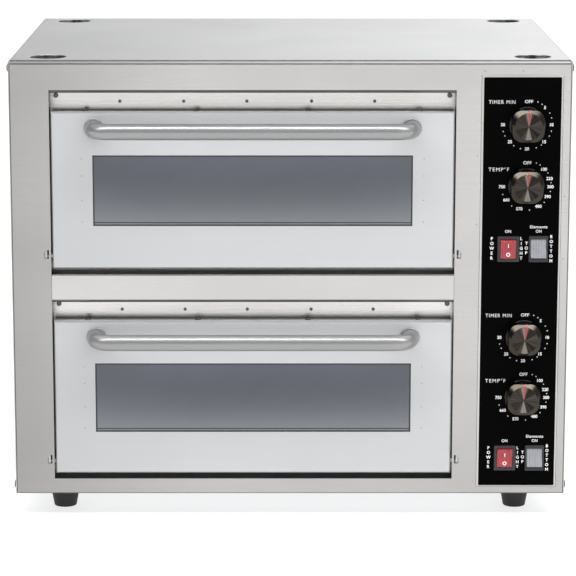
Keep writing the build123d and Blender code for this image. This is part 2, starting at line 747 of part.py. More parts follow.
# Knobs: a skirt and a soft-cornered grip with a turned bevel, a spun metal cap, and a D-shaped shaft
for deck, drop in (("upper", 0.0), ("lower", CONTROL_PITCH)):
    for kind, dial_z in (("timer", TIMER_Z), ("thermostat", THERMOSTAT_Z)):
        z = dial_z - drop
        skirt_t = -OVERLAY_T - KNOB_GAP
        grip_t = skirt_t - 3.0
        face_t = -OVERLAY_T - KNOB_OUT
        bevel_r = CAP_R + 0.5
        clear_r = SKIRT_R + 7.0
        with BuildPart() as knob:
            rod_y(DIAL_X, grip_t, skirt_t, z, SKIRT_R)
            fillet(knob.faces().sort_by(Axis.Y)[0].edges(), 1.2)
            with BuildSketch(facing(grip_t + 0.5)):
                with Locations((DIAL_X, z)):
                    RectangleRounded(KNOB_W, KNOB_W, KNOB_CORNER_R)
            extrude(amount=grip_t + 0.5 - face_t, taper=1.5)
            with BuildSketch(across(DIAL_X)):
                with BuildLine():
                    Polyline(
                        (FRONT_Y + face_t, z + bevel_r),
                        (FRONT_Y + face_t - 1, z + bevel_r),
                        (FRONT_Y + face_t - 1, z + clear_r),
                        (FRONT_Y + face_t + (clear_r - bevel_r) / KNOB_BEVEL, z + clear_r),
                        close=True,
                    )
                make_face()
            revolve(axis=Axis((DIAL_X, FRONT_Y, z), (0, 1, 0)), mode=Mode.SUBTRACT)
            rod_y(DIAL_X, face_t - 1, face_t + 1.0, z, CAP_R + 0.05, Mode.SUBTRACT)
            rod_y(DIAL_X, -16, 1, z, SHAFT_R + 0.02, Mode.SUBTRACT)
            rod_y(DIAL_X, skirt_t - 8, 1, z, SKIRT_R - 7, Mode.SUBTRACT)
            rod_y(DIAL_X, -12, skirt_t, z, SHAFT_R + 3)
            rod_y(DIAL_X, -16, 1, z, SHAFT_R + 0.02, Mode.SUBTRACT)
        write(knob, f"{deck}_{kind}_knob")
        with BuildPart() as cap:
            rod_y(DIAL_X, face_t - 0.4, face_t + 1.0, z, CAP_R)
            fillet(cap.faces().sort_by(Axis.Y)[0].edges(), 0.35)
        write(cap, f"{deck}_{kind}_knob_cap")
        with BuildPart() as shaft:
            rod_y(DIAL_X, -15.5, 16, z, SHAFT_R)
            slab(DIAL_X - 5, DIAL_X + 5, -16, -3, z + 1.8, z + 5, Mode.SUBTRACT)
        write(shaft, f"{deck}_{kind}_shaft")

# Switch housings: a bezel in front of the panel, a body behind it with an open well, and blade terminals
with BuildPart() as switch_housings:
    for drop in (0.0, CONTROL_PITCH):
        for x, high, bezel_w, bezel_h, _ in SWITCHES.values():
            z = high - drop
            front_t = -OVERLAY_T - BEZEL_T
            with BuildSketch(facing(-OVERLAY_T)):
                with Locations((x, z)):
                    RectangleRounded(bezel_w, bezel_h, 1.5)
            extrude(amount=BEZEL_T, taper=12.0)
            slab(
                x - SWITCH_BODY_W / 2,
                x + SWITCH_BODY_W / 2,
                front_t + 1,
                24,
                z - SWITCH_BODY_H / 2,
                z + SWITCH_BODY_H / 2,
            )
            slab(
                x - WELL_W / 2,
                x + WELL_W / 2,
                front_t - 1,
                11,
                z - WELL_H / 2,
                z + WELL_H / 2,
                Mode.SUBTRACT,
            )
            rod_x(
                x - WELL_W / 2 - 0.8,
                x + WELL_W / 2 + 0.8,
                ROCKER_PIVOT_T,
                z,
                TRUNNION_R + 0.06,
                Mode.SUBTRACT,
            )
            for blade_x in (x - 5, x + 5):
                slab(blade_x - 3.1, blade_x + 3.1, 23, 33, z - 8.4, z - 7.6)
                slab(blade_x - 3.1, blade_x + 3.1, 23, 33, z + 7.6, z + 8.4)
write(switch_housings, "switch_housings")

# Rockers: a shallow V in front, round ends about the pivot, and a trunnion each side
for deck, drop in (("upper", 0.0), ("lower", CONTROL_PITCH)):
    for kind, (x, high, _, _, lean) in SWITCHES.items():
        tilt = radians(-lean * ROCKER_TILT)
        pivot = (x, FRONT_Y + ROCKER_PIVOT_T, high - drop)
        tilted = Plane(origin=pivot, x_dir=(0, cos(tilt), sin(tilt)), z_dir=(1, 0, 0))
        with BuildPart() as rocker:
            with BuildSketch(tilted):
                Circle(ROCKER_R)
                edge_out = ROCKER_FACE + ROCKER_R * tan(radians(ROCKER_TILT))
                with BuildLine():
                    Polyline(
                        (-ROCKER_FACE, 0),
                        (-edge_out, ROCKER_R),
                        (-2 * ROCKER_R, ROCKER_R),
                        (-2 * ROCKER_R, -ROCKER_R),
                        (-edge_out, -ROCKER_R),
                        close=True,
                    )
                make_face(mode=Mode.SUBTRACT)
                with Locations((5 + ROCKER_R, 0)):
                    Rectangle(2 * ROCKER_R, 2 * ROCKER_R, mode=Mode.SUBTRACT)
            extrude(amount=ROCKER_W / 2, both=True)
            crown = rocker.edges().filter_by(Axis.X).group_by(Axis.Y)[0]
            fillet(crown, 0.8)
            rod_x(
                x - ROCKER_W / 2 - 0.7,
                x + ROCKER_W / 2 + 0.7,
                ROCKER_PIVOT_T,
                high - drop,
                TRUNNION_R,
            )
        write(rocker, f"{deck}_{kind}_rocker")

# Terminal block and cable gland: where the mains lead comes in
with BuildPart() as terminal_block:
    slab(GLAND_X - 32, GLAND_X + 32, 470, 494, FOOT_H + SHEET, FOOT_H + SHEET + 22)
    for port in range(4):
        x = GLAND_X - 24 + 16 * port
        rod_z(x, 482, FOOT_H + SHEET + 12, FOOT_H + SHEET + 23, 3.0, Mode.SUBTRACT)
        rod_y(x, 469, 495, FOOT_H + SHEET + 7, 2.5, Mode.SUBTRACT)
write(terminal_block, "terminal_block")

with BuildPart() as cable_gland:
    with BuildSketch(facing(BODY_D)):
        with Locations((GLAND_X, GLAND_Z)):
            RegularPolygon(13.0, 6)
    extrude(amount=-6.0)
    rod_y(GLAND_X, BODY_D + 5, BODY_D + GLAND_OUT, GLAND_Z, 10.5)
    fillet(cable_gland.faces().sort_by(Axis.Y)[-1].edges(), 4.0)
    rod_y(GLAND_X, BACK_T - 11, BODY_D + 1, GLAND_Z, GLAND_HOLE_R - 0.2)
    with BuildSketch(facing(BACK_T)):
        with Locations((GLAND_X, GLAND_Z)):
            RegularPolygon(12.0, 6)
    extrude(amount=5.0)
    rod_y(GLAND_X, BACK_T - 12, BODY_D + GLAND_OUT + 1, GLAND_Z, 4.8, Mode.SUBTRACT)
write(cable_gland, "cable_gland")

# ---------------------------------------------------------------- doors

# Hinge brackets: folded plates beside each jamb, each with a bore for a hinge pin
with BuildPart() as hinge_brackets:
    for lift in DECKS.values():
        z = DOOR_Z0 + PIVOT_H + lift
        for side in (-1, 1):
            near = BAY_X + side * (BAY_HALF + 5.0)
            far = BAY_X + side * (BAY_HALF + 8.0)
            foot = BAY_X + side * (BAY_HALF + 12.0)
            slab(min(near, far), max(near, far), 1.6, FRAME_T, z - 12, z + 15)
            slab(min(near, foot), max(near, foot), FRAME_T - 1.5, FRAME_T, z - 12, z + 15)
            rod_x(min(near, far) - 1, max(near, far) + 1, PIVOT_T, z, PIN_BORE_R, Mode.SUBTRACT)
write(hinge_brackets, "hinge_brackets")

for deck, lift in DECKS.items():
    foot_z = DOOR_Z0 + lift
    window_z0 = foot_z + WINDOW_Z0
    window_z1 = window_z0 + WINDOW_H
    pin_z = foot_z + PIVOT_H

    # Skin: the outer pan, folded back on all four sides, with a shallower fold below the hinge line
    with BuildPart() as skin:
        slab(BAY_X - DOOR_HALF, BAY_X + DOOR_HALF, 0, DOOR_T, foot_z, foot_z + DOOR_H)
        fillet(skin.faces().sort_by(Axis.Y)[0].edges(), BEND_R)
        slab(
            BAY_X - DOOR_HALF + DOOR_SHEET,
            BAY_X + DOOR_HALF - DOOR_SHEET,
            DOOR_SHEET,
            DOOR_T + 1,
            foot_z + DOOR_SHEET,
            foot_z + DOOR_H - DOOR_SHEET,
            Mode.SUBTRACT,
        )
        slab(
            BAY_X - DOOR_HALF - 1,
            BAY_X + DOOR_HALF + 1,
            LIP_T,
            DOOR_T + 1,
            foot_z - 1,
            foot_z + LIP_H,
            Mode.SUBTRACT,
        )
        slab(
            BAY_X - WINDOW_HALF,
            BAY_X + WINDOW_HALF,
            -1,
            DOOR_SHEET + 1,
            window_z0,
            window_z1,
            Mode.SUBTRACT,
        )
        for side in (-1, 1):
            edge_x = BAY_X + side * DOOR_HALF
            rod_x(edge_x - 3, edge_x + 3, PIVOT_T, pin_z, PIN_R + 0.05, Mode.SUBTRACT)
            leg_x = BAY_X + side * (HANDLE_LEN - HANDLE_D) / 2
            rod_y(leg_x, -1, 3, foot_z + HANDLE_H, HANDLE_BOLT_HOLE_R, Mode.SUBTRACT)
        for x in TOP_SCREWS:
            rod_z(BAY_X + x, DOOR_T / 2, foot_z + DOOR_H - 2, foot_z + DOOR_H + 1, 1.6, Mode.SUBTRACT)
    write(skin, f"{deck}_door_skin")

    # Liner: the inner sheet, stepped forwards below the hinge line, with a flange under the top of the skin
    with BuildPart() as liner:
        with BuildSketch(across(BAY_X)):
            with BuildLine():
                Polyline(
                    *[
                        (FRONT_Y + t, foot_z + h)
                        for t, h in (
                            (LIP_T, DOOR_SHEET),
                            (LIP_T, LIP_H),
                            (DOOR_T, LIP_H),
                            (DOOR_T, DOOR_H - DOOR_SHEET),
                            (8.0, DOOR_H - DOOR_SHEET),
                            (8.0, DOOR_H - 2 * DOOR_SHEET),
                            (DOOR_T - DOOR_SHEET, DOOR_H - 2 * DOOR_SHEET),
                            (DOOR_T - DOOR_SHEET, LIP_H + DOOR_SHEET),
                            (LIP_T - DOOR_SHEET, LIP_H + DOOR_SHEET),
                            (LIP_T - DOOR_SHEET, DOOR_SHEET),
                        )
                    ],
                    close=True,
                )
            make_face()
        extrude(amount=DOOR_HALF - DOOR_SHEET - 0.1, both=True)
        slab(
            BAY_X - WINDOW_HALF,
            BAY_X + WINDOW_HALF,
            DOOR_T - 2,
            DOOR_T + 1,
            window_z0,
            window_z1,
            Mode.SUBTRACT,
        )
        for x in TOP_SCREWS:
            rod_z(BAY_X + x, DOOR_T / 2, foot_z + DOOR_H - 4, foot_z + DOOR_H, 1.6, Mode.SUBTRACT)
    write(liner, f"{deck}_door_liner")

    # Panes: two equal sheets of tempered glass, one behind the skin and one in front of the liner
    pane_half = WINDOW_HALF + PANE_LAP
    with BuildPart() as panes:
        for t in (DOOR_SHEET, DOOR_T - DOOR_SHEET - PANE_T):
            slab(
                BAY_X - pane_half,
                BAY_X + pane_half,
                t,
                t + PANE_T,
                window_z0 - PANE_LAP,
                window_z1 + PANE_LAP,
            )
    write(panes, f"{deck}_door_panes")

    # Glazing frame: a ring around both panes with a rib that keeps them apart
    ring = PANE_LAP + 0.3
    with BuildPart() as glazing_frame:
        slab(
            BAY_X - WINDOW_HALF - ring - 3,
            BAY_X + WINDOW_HALF + ring + 3,
            DOOR_SHEET,
            DOOR_T - DOOR_SHEET,
            window_z0 - ring - 3,
            window_z1 + ring + 3,
        )
        for t0, t1 in ((0, DOOR_SHEET + PANE_T), (DOOR_T - DOOR_SHEET - PANE_T, DOOR_T)):
            slab(
                BAY_X - WINDOW_HALF - ring,
                BAY_X + WINDOW_HALF + ring,
                t0,
                t1,
                window_z0 - ring,
                window_z1 + ring,
                Mode.SUBTRACT,
            )
        slab(
            BAY_X - WINDOW_HALF - 1,
            BAY_X + WINDOW_HALF + 1,
            0,
            DOOR_T,
            window_z0 - 1,
            window_z1 + 1,
            Mode.SUBTRACT,
        )
    write(glazing_frame, f"{deck}_door_glazing_frame")

    # Insulation: a mat around the glazing frame
    mat_t0 = DOOR_SHEET + PANE_T + 1
    with BuildPart() as door_mat:
        slab(
            BAY_X - DOOR_HALF + 6,
            BAY_X + DOOR_HALF - 6,
            mat_t0,
            DOOR_T - DOOR_SHEET,
            foot_z + LIP_H + DOOR_SHEET + 1,
            foot_z + DOOR_H - 10,
        )
        slab(
            BAY_X - WINDOW_HALF - ring - 3.5,
            BAY_X + WINDOW_HALF + ring + 3.5,
            mat_t0 - 1,
            DOOR_T,
            window_z0 - ring - 3.5,
            window_z1 + ring + 3.5,
            Mode.SUBTRACT,
        )
    write(door_mat, f"{deck}_door_insulation")

    # Handle: a bent tube with a threaded plug in each end and a round flange against the door
    leg = (HANDLE_LEN - HANDLE_D) / 2
    handle_plane = Plane.XY.offset(foot_z + HANDLE_H)
    with BuildPart() as flanges:
        for side in (-1, 1):
            rod_y(BAY_X + side * leg, -HANDLE_FLANGE_T, 0, foot_z + HANDLE_H, HANDLE_FLANGE_R)
        fillet(flanges.faces().group_by(Axis.Y)[0].edges(), HANDLE_FLANGE_T / 2)
    with BuildPart() as handle:
        with BuildLine(handle_plane):
            bend = FilletPolyline(
                (BAY_X - leg, FRONT_Y),
                (BAY_X - leg, FRONT_Y - HANDLE_AXIS_OUT),
                (BAY_X + leg, FRONT_Y - HANDLE_AXIS_OUT),
                (BAY_X + leg, FRONT_Y),
                radius=HANDLE_BEND_R,
            )
        with BuildSketch(Plane(origin=bend @ 0, z_dir=bend % 0)):
            Circle(HANDLE_D / 2)
            Circle(HANDLE_D / 2 - HANDLE_WALL, mode=Mode.SUBTRACT)
        sweep(path=bend)
        for side in (-1, 1):
            rod_y(BAY_X + side * leg, -HANDLE_PLUG, 0, foot_z + HANDLE_H, HANDLE_D / 2 - HANDLE_WALL)
        add(flanges.part)
        for side in (-1, 1):
            rod_y(BAY_X + side * leg, -HANDLE_PLUG - 1, 1, foot_z + HANDLE_H, HANDLE_TAP_R, Mode.SUBTRACT)
    write(handle, f"{deck}_door_handle")

    # Screws: four pan heads in the top edge of the door and one up each leg of the handle
    with BuildPart() as door_screws:
        for x in TOP_SCREWS:
            rod_z(BAY_X + x, DOOR_T / 2, foot_z + DOOR_H - 9, foot_z + DOOR_H + 0.5, 1.5)
            rod_z(BAY_X + x, DOOR_T / 2, foot_z + DOOR_H, foot_z + DOOR_H + TOP_HEAD_H, TOP_HEAD_R)
        rims = door_screws.edges().filter_by(GeomType.CIRCLE).group_by(Axis.Z)[-1]
        fillet(rims, 1.2)
        for side in (-1, 1):
            rod_y(BAY_X + side * leg, -9, 2, foot_z + HANDLE_H, HANDLE_BOLT_R)
            rod_y(BAY_X + side * leg, DOOR_SHEET, DOOR_SHEET + 3.5, foot_z + HANDLE_H, HANDLE_BOLT_HEAD_R)
    write(door_screws, f"{deck}_door_screws")

    # Hinge pins: one through each side of the skin, held by a collar inside the door
    with BuildPart() as hinge_pins:
        for side in (-1, 1):
            inner = BAY_X + side * (DOOR_HALF - DOOR_SHEET)
            collar = inner - side * 3
            tip = BAY_X + side * (BAY_HALF + 10.0)
            rod_x(min(collar, tip), max(collar, tip), PIVOT_T, pin_z, PIN_R)
            rod_x(min(inner, collar), max(inner, collar), PIVOT_T, pin_z, 4.8)
    write(hinge_pins, f"{deck}_door_hinge_pins")
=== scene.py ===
import math

import bpy
from mathutils import Matrix, Vector


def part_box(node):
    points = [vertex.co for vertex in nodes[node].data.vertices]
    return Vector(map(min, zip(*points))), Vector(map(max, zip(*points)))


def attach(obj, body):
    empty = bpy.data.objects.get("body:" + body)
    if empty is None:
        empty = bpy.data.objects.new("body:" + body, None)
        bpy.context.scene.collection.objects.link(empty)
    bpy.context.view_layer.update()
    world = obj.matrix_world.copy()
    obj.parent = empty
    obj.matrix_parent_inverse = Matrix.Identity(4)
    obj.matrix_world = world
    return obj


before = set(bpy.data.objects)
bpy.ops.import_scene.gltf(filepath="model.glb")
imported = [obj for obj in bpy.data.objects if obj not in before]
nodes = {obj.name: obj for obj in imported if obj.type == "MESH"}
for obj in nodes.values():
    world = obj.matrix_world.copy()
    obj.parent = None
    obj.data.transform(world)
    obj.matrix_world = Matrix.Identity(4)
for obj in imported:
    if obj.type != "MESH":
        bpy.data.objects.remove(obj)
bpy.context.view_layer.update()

MM = 0.001
BODY = "oven_body"

# The depths of the front panel's face and of the overlay's face
FRONT_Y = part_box("front_panel")[0].y
OVERLAY_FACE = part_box("control_overlay")[0].y
DECKS = ("upper", "lower")


def middle(node):
    low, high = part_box(node)
    return (low + high) / 2


# ------------------------------------------------------------------ node helpers


def new_material(name):
    """A material with an empty tree apart from its Principled shader and its output."""
    material = bpy.data.materials.new(name)
    material.use_nodes = True
    tree = material.node_tree
    return material, tree, tree.nodes["Principled BSDF"]


def put(tree, kind, **values):
    """Adds a node. Each name is an input's, with underscores for spaces, or else one of its own settings."""
    node = tree.nodes.new(kind)
    for name, value in values.items():
        socket = node.inputs.get(name.replace("_", " ").title())
        if socket is not None:
            socket.default_value = value
        else:
            setattr(node, name, value)
    return node


def place(tree):
    """Object coordinates, in metres."""
    return put(tree, "ShaderNodeTexCoord").outputs["Object"]


def noise(tree, cells, detail=3.0, rough=0.55, distortion=0.0):
    """Noise over object space, with so many cells a metre: one number, or one for each axis."""
    scale = cells if isinstance(cells, tuple) else (cells, cells, cells)
    mapping = put(tree, "ShaderNodeMapping", scale=scale)
    tree.links.new(place(tree), mapping.inputs["Vector"])
    texture = put(
        tree, "ShaderNodeTexNoise", scale=1.0, detail=detail, roughness=rough, distortion=distortion
    )
    tree.links.new(mapping.outputs["Vector"], texture.inputs["Vector"])
    return texture.outputs["Fac"]


def remap(tree, value, low, high, start=0.3, end=0.7):
    """Takes values from start to end onto low to high."""
    node = put(tree, "ShaderNodeMapRange", from_min=start, from_max=end, to_min=low, to_max=high)
    tree.links.new(value, node.inputs["Value"])
    return node.outputs["Result"]


def blend_colour(tree, share, first, second):
    """Mixes two colours, each a tuple or a socket, by a share between 0 and 1."""
    node = put(tree, "ShaderNodeMix", data_type="RGBA")
    tree.links.new(share, node.inputs["Factor"])
    for name, colour in (("A", first), ("B", second)):
        socket = [s for s in node.inputs if s.name == name and s.type == "RGBA"][0]
        if isinstance(colour, tuple):
            socket.default_value = (*colour, 1.0)
        else:
            tree.links.new(colour, socket)
    return [s for s in node.outputs if s.type == "RGBA"][0]


def blend_number(tree, share, first, second):
    """Mixes two numbers, each a float or a socket, by a share between 0 and 1."""
    node = put(tree, "ShaderNodeMix", data_type="FLOAT")
    tree.links.new(share, node.inputs["Factor"])
    for name, number in (("A", first), ("B", second)):
        socket = [s for s in node.inputs if s.name == name and s.type == "VALUE"][0]
        if isinstance(number, float):
            socket.default_value = number
        else:
            tree.links.new(number, socket)
    return [s for s in node.outputs if s.type == "VALUE"][0]


def bump(tree, shader, height, depth, strength):
    """Gives the shader a bump of this depth in metres."""
    node = put(tree, "ShaderNodeBump", strength=strength, distance=depth)
    tree.links.new(height, node.inputs["Height"])
    tree.links.new(node.outputs["Normal"], shader.inputs["Normal"])


def math_node(tree, operation, first, second=None):
    """The result of a sum on one or two values, each a number or a socket."""
    node = put(tree, "ShaderNodeMath", operation=operation)
    for index, value in enumerate((first, second)):
        if value is None:
            continue
        if isinstance(value, (int, float)):
            node.inputs[index].default_value = value
        else:
            tree.links.new(value, node.inputs[index])
    return node.outputs[0]


def vector_node(tree, operation, first, second=None):
    """The result of a sum on a vector from a socket and, in most sums, a tuple."""
    node = put(tree, "ShaderNodeVectorMath", operation=operation)
    tree.links.new(first, node.inputs[0])
    if second is not None:
        node.inputs[1].default_value = second
    return node.outputs["Vector"]


def axis(tree, name):
    """One of the object coordinates, X, Y or Z."""
    split = put(tree, "ShaderNodeSeparateXYZ")
    tree.links.new(place(tree), split.inputs["Vector"])
    return split.outputs[name]


def times(tree, first, second):
    return math_node(tree, "MULTIPLY", first, second)


def plus(tree, first, second):
    return math_node(tree, "ADD", first, second)


def larger(tree, first, second):
    return math_node(tree, "MAXIMUM", first, second)


def rest_of(tree, value):
    """What is left of 1 when the value is taken off it."""
    return math_node(tree, "SUBTRACT", 1.0, value)


def toned(colour, share):
    """The colour made darker, or lighter up to white."""
    return tuple(min(1.0, channel * share) for channel in colour)


def away(tree, name, middle_at, near, far):
    """0 within near of a position along an axis, 1 beyond far of it."""
    offset = math_node(tree, "ABSOLUTE", math_node(tree, "SUBTRACT", axis(tree, name), middle_at))
    return remap(tree, offset, 0.0, 1.0, near, far)


# ------------------------------------------------------------------ materials

# The heights of the front panel's, the top sheet's and the doors' tops
PANEL_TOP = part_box("front_panel")[1].z
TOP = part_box("top_cover")[1].z
DOOR_TOPS = [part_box(f"{deck}_door_skin")[1].z for deck in DECKS]
# How thick the skirt of a knob is, and the depth of its face
SKIRT_T = 3.0 * MM
SKIRT_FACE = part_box("upper_timer_knob")[1].y - SKIRT_T

# Where painted shade darkens a fold, as depths behind the sheet's face, and each stretch's share of that
# painted shade
BEND = (0.02 * MM, 0.15 * MM)
BEND_SHARE = 0.82
GAP = (3.0 * MM, 8.0 * MM)
GAP_SHARE = 0.18
# Over what distance off a sheet's flat top the shade sets in, and how softly a bright top begins at its rim
TOP_EDGE = (0.03 * MM, 0.15 * MM)
RIM_SOFTNESS = 0.3 * MM


def painted_fold_shade(set_back=0.0, share=1.0, tops=(PANEL_TOP,), rim=0.0):
    """A mask of painted shade for what a front sheet folds back into the oven: a painted dark line on its
    bends, and deeper painted shade in the gaps behind them.

    The sheet's face lies set_back behind the front panel's. Its flat tops stay bright behind their rim.
    """

    def mask(tree):
        depth = axis(tree, "Y")
        face = FRONT_Y + set_back
        bend = remap(tree, depth, 0.0, BEND_SHARE * share, face + BEND[0], face + BEND[1])
        gap = remap(tree, depth, 0.0, GAP_SHARE * share, face + GAP[0], face + GAP[1])
        dark = plus(tree, bend, gap)
        before_rim = remap(tree, depth, 1.0, 0.0, face + rim - RIM_SOFTNESS, face + rim)
        for top in tops:
            off_top = away(tree, "Z", top, *TOP_EDGE)
            dark = times(tree, dark, larger(tree, off_top, before_rim))
        return dark

    return mask


# Where the painted shade in a cup's wall begins and where it is full, as depths below the top sheet
CUP_DEPTHS = (0.3 * MM, 1.5 * MM)
# Cells a metre of the painted streaks of reflection in the cups, the values of the noise that are bright and
# dark, and how dark
CUP_REFLECTION_STREAKS = (75.0, 12.0, 12.0)
CUP_TONES = (0.38, 0.62)
DARKEST_STREAK = 0.85


def painted_cup_shade(tree):
    """A mask of painted shade on the walls and floors of the stacking cups, broken up from end to end by
    painted streaks of reflection.
    """
    below = remap(tree, axis(tree, "Z"), 1.0, 0.0, TOP - CUP_DEPTHS[1], TOP - CUP_DEPTHS[0])
    painted_streaks = remap(tree, noise(tree, CUP_REFLECTION_STREAKS, 1.0), 0.0, DARKEST_STREAK, *CUP_TONES)
    return times(tree, below, painted_streaks)


# The heights and the X between which a front sheet goes from its tone darkened by painted shade to its full
# tone, in metres
CORNER_SHADE_HEIGHTS = (0.03, 0.5)
CORNER_SHADE_END = (-0.36, -0.12)


def painted_corner_shade(floor_share, end_share):
    """The share of a front sheet's tone that is left under painted shade towards the floor and the left end
    of the oven.
    """

    def mask(tree):
        low = remap(tree, axis(tree, "Z"), floor_share, 1.0, *CORNER_SHADE_HEIGHTS)
        end = remap(tree, axis(tree, "X"), end_share, 1.0, *CORNER_SHADE_END)
        return times(tree, low, end)

    return mask


# What is left of each channel of a sheet's colour where shade is painted on it, in its folds and gaps and in
# the stacking cups
PAINTED_SHADE_SHARE = (0.068, 0.060, 0.055)
BLACK = (0.0, 0.0, 0.0)
# Brushed steel: cells of noise a metre, along the brushing and across it
HAIRLINES = (9.0, 2100.0)
STREAKS = (3.5, 420.0)
# Cells a metre of its hand marks, the values of the noise where a mark begins and is full, and its strength
HAND_MARKS = (5.0, 5.0, 7.0)
MARK_EDGE = (0.45, 0.75)
FULL_MARK = 0.6
# How far the roughness goes below and above its mean, over the hairlines and over the marks
HAIR_GLOSS = (-0.05, 0.07)
MARK_GLOSS = (-0.015, 0.03)
HAIR_DEPTH = 0.04 * MM


def stretched(along, cells):
    """Cells a metre on X, Y and Z for brushing that runs along X or Y."""
    with_grain, across = cells
    return (with_grain, across, across) if along == "x" else (across, with_grain, across)


def brushed(
    name, colour, along, roughness=0.3, contrast=0.08, smudge=0.05, painted_shade=None, metallic=1.0, corner_shade=None
):
    """Stainless steel brushed along X or Y: fine hairlines, coarser streaks and a few soft hand marks.

    The hairlines change its colour by the share contrast, and a hand mark takes off the share smudge. Where
    the mask of painted shade is 1, the steel is dark with painted shade. The mask of painted corner shade is
    the share of tone that is left.
    """
    material, tree, shader = new_material(name)
    hairs = noise(tree, stretched(along, HAIRLINES), 2.0)
    streaks = noise(tree, stretched(along, STREAKS), 4.0, 0.6)
    marks = noise(tree, HAND_MARKS, 3.0, 0.5, 0.4)
    grain = plus(tree, times(tree, hairs, 0.5), times(tree, streaks, 0.5))
    dark, light = toned(colour, 1.0 - contrast), toned(colour, 1.0 + contrast)
    base = blend_colour(tree, remap(tree, grain, 0.0, 1.0), dark, light)
    marked = remap(tree, marks, 0.0, FULL_MARK, *MARK_EDGE)
    tint = blend_colour(tree, marked, base, toned(colour, 1.0 - smudge))
    # Painted shade towards the floor and the left end
    if corner_shade is not None:
        tint = blend_colour(tree, corner_shade(tree), BLACK, tint)
    # Painted shade in the folds, the gaps and the cups
    if painted_shade is not None:
        tint = blend_colour(tree, painted_shade(tree), tint, tuple(c * s for c, s in zip(colour, PAINTED_SHADE_SHARE)))
    tree.links.new(tint, shader.inputs["Base Color"])
    gloss = remap(tree, grain, roughness + HAIR_GLOSS[0], roughness + HAIR_GLOSS[1])
    tree.links.new(plus(tree, gloss, remap(tree, marks, *MARK_GLOSS)), shader.inputs["Roughness"])
    shader.inputs["Metallic"].default_value = metallic
    bump(tree, shader, grain, HAIR_DEPTH, 0.5)
    return material


# Cells a metre of a moulding's changes of tone, and how far its roughness goes below and above its mean
CLOUDS = 22.0
MOULDED_GLOSS = (-0.04, 0.06)


def moulded(
    name, colour, roughness, grain=900.0, depth=0.05 * MM, metallic=0.0, variation=0.12, **sockets
):
    """Moulded plastic, rubber, cast or fired stuff: an even fine grain, slightly uneven in tone and gloss.

    sockets are further inputs of the shader, by name, with underscores for spaces.
    """
    material, tree, shader = new_material(name)
    speck = noise(tree, grain)
    cloud = noise(tree, CLOUDS)
    dark, light = toned(colour, 1.0 - variation), toned(colour, 1.0 + variation)
    tint = blend_colour(tree, remap(tree, cloud, 0.0, 1.0), dark, light)
    tree.links.new(tint, shader.inputs["Base Color"])
    gloss = remap(tree, speck, roughness + MOULDED_GLOSS[0], roughness + MOULDED_GLOSS[1])
    tree.links.new(gloss, shader.inputs["Roughness"])
    shader.inputs["Metallic"].default_value = metallic
    for socket, value in sockets.items():
        shader.inputs[socket.replace("_", " ")].default_value = value
    bump(tree, shader, speck, depth, 0.6)
    return material


# How far the panes reach behind the door skin
PANE_LAP = 8.0 * MM
# The black line round the glass's edge, and over what width its inner edge fades
GLASS_LINE = 1.8 * MM
LINE_FADE = 0.3 * MM
# The second black line: its height above the sill, and how far from its middle it begins and ends to fade
SILL_LINE_UP = 4.2 * MM
SILL_LINE_FADE = (0.5 * MM, 0.9 * MM)
# How far up from the sill the glass is paler, and how fast that fades out on the way
PALE_REACH = 0.075
PALE_POWER = 1.8
# Cells a metre of the wiping marks on the glass
WIPE_MARKS = (6.0, 6.0, 14.0)
GLASS_DARK = (0.070, 0.077, 0.100)
GLASS_LIGHT = (0.086, 0.094, 0.117)
GLASS_PALE = (0.200, 0.212, 0.230)
GLASS_EDGE_BLACK = (0.012, 0.013, 0.016)


def window_glass(deck):
    """Tempered oven glass: grey-blue, paler towards the sill, with a black line round its edge.

    A second black line runs just above the sill.
    """
    material, tree, shader = new_material(f"{deck}_tinted_glass")
    low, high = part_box(f"{deck}_door_panes")
    sill = low.z + PANE_LAP
    line_x = (high.x - low.x) / 2 - PANE_LAP - GLASS_LINE
    line_z = (high.z - low.z) / 2 - PANE_LAP - GLASS_LINE
    wipe = noise(tree, WIPE_MARKS, 4.0, 0.6, 0.6)
    glass = blend_colour(tree, remap(tree, wipe, 0.0, 1.0), GLASS_DARK, GLASS_LIGHT)
    near_sill = remap(tree, axis(tree, "Z"), 1.0, 0.0, sill, sill + PALE_REACH)
    tint = blend_colour(tree, math_node(tree, "POWER", near_sill, PALE_POWER), glass, GLASS_PALE)
    sides = away(tree, "X", (low.x + high.x) / 2, line_x - LINE_FADE, line_x)
    ends = away(tree, "Z", (low.z + high.z) / 2, line_z - LINE_FADE, line_z)
    second = rest_of(tree, away(tree, "Z", sill + SILL_LINE_UP, *SILL_LINE_FADE))
    black_lines = larger(tree, larger(tree, sides, ends), second)
    tree.links.new(blend_colour(tree, black_lines, tint, GLASS_EDGE_BLACK), shader.inputs["Base Color"])
    tree.links.new(remap(tree, wipe, 0.06, 0.12), shader.inputs["Roughness"])
    shader.inputs["Transmission Weight"].default_value = 0.12
    shader.inputs["IOR"].default_value = 1.52
    shader.inputs["Coat Weight"].default_value = 0.1
    shader.inputs["Coat Roughness"].default_value = 0.05
    return material


# The noise round a spun disc, by direction from its middle: scale and share of the tone, first for the broad
# sectors and then for the fine lines
SPUN_NOISES = ((1.9, 0.7), (16.0, 0.3))
# The values of that noise that are fully dark and fully light
SPUN_TONES = (0.38, 0.62)
SPUN_DARK = (0.012, 0.010, 0.008)
SPUN_LIGHT = (0.075, 0.068, 0.060)
# Painted highlights in wedges above and below the middle: how upright they begin and end to be, and how
# strong they are
HIGHLIGHT_EDGE = (0.955, 0.985)
HIGHLIGHT_STRENGTH = 0.85
PAINTED_HIGHLIGHT = (0.34, 0.30, 0.26)


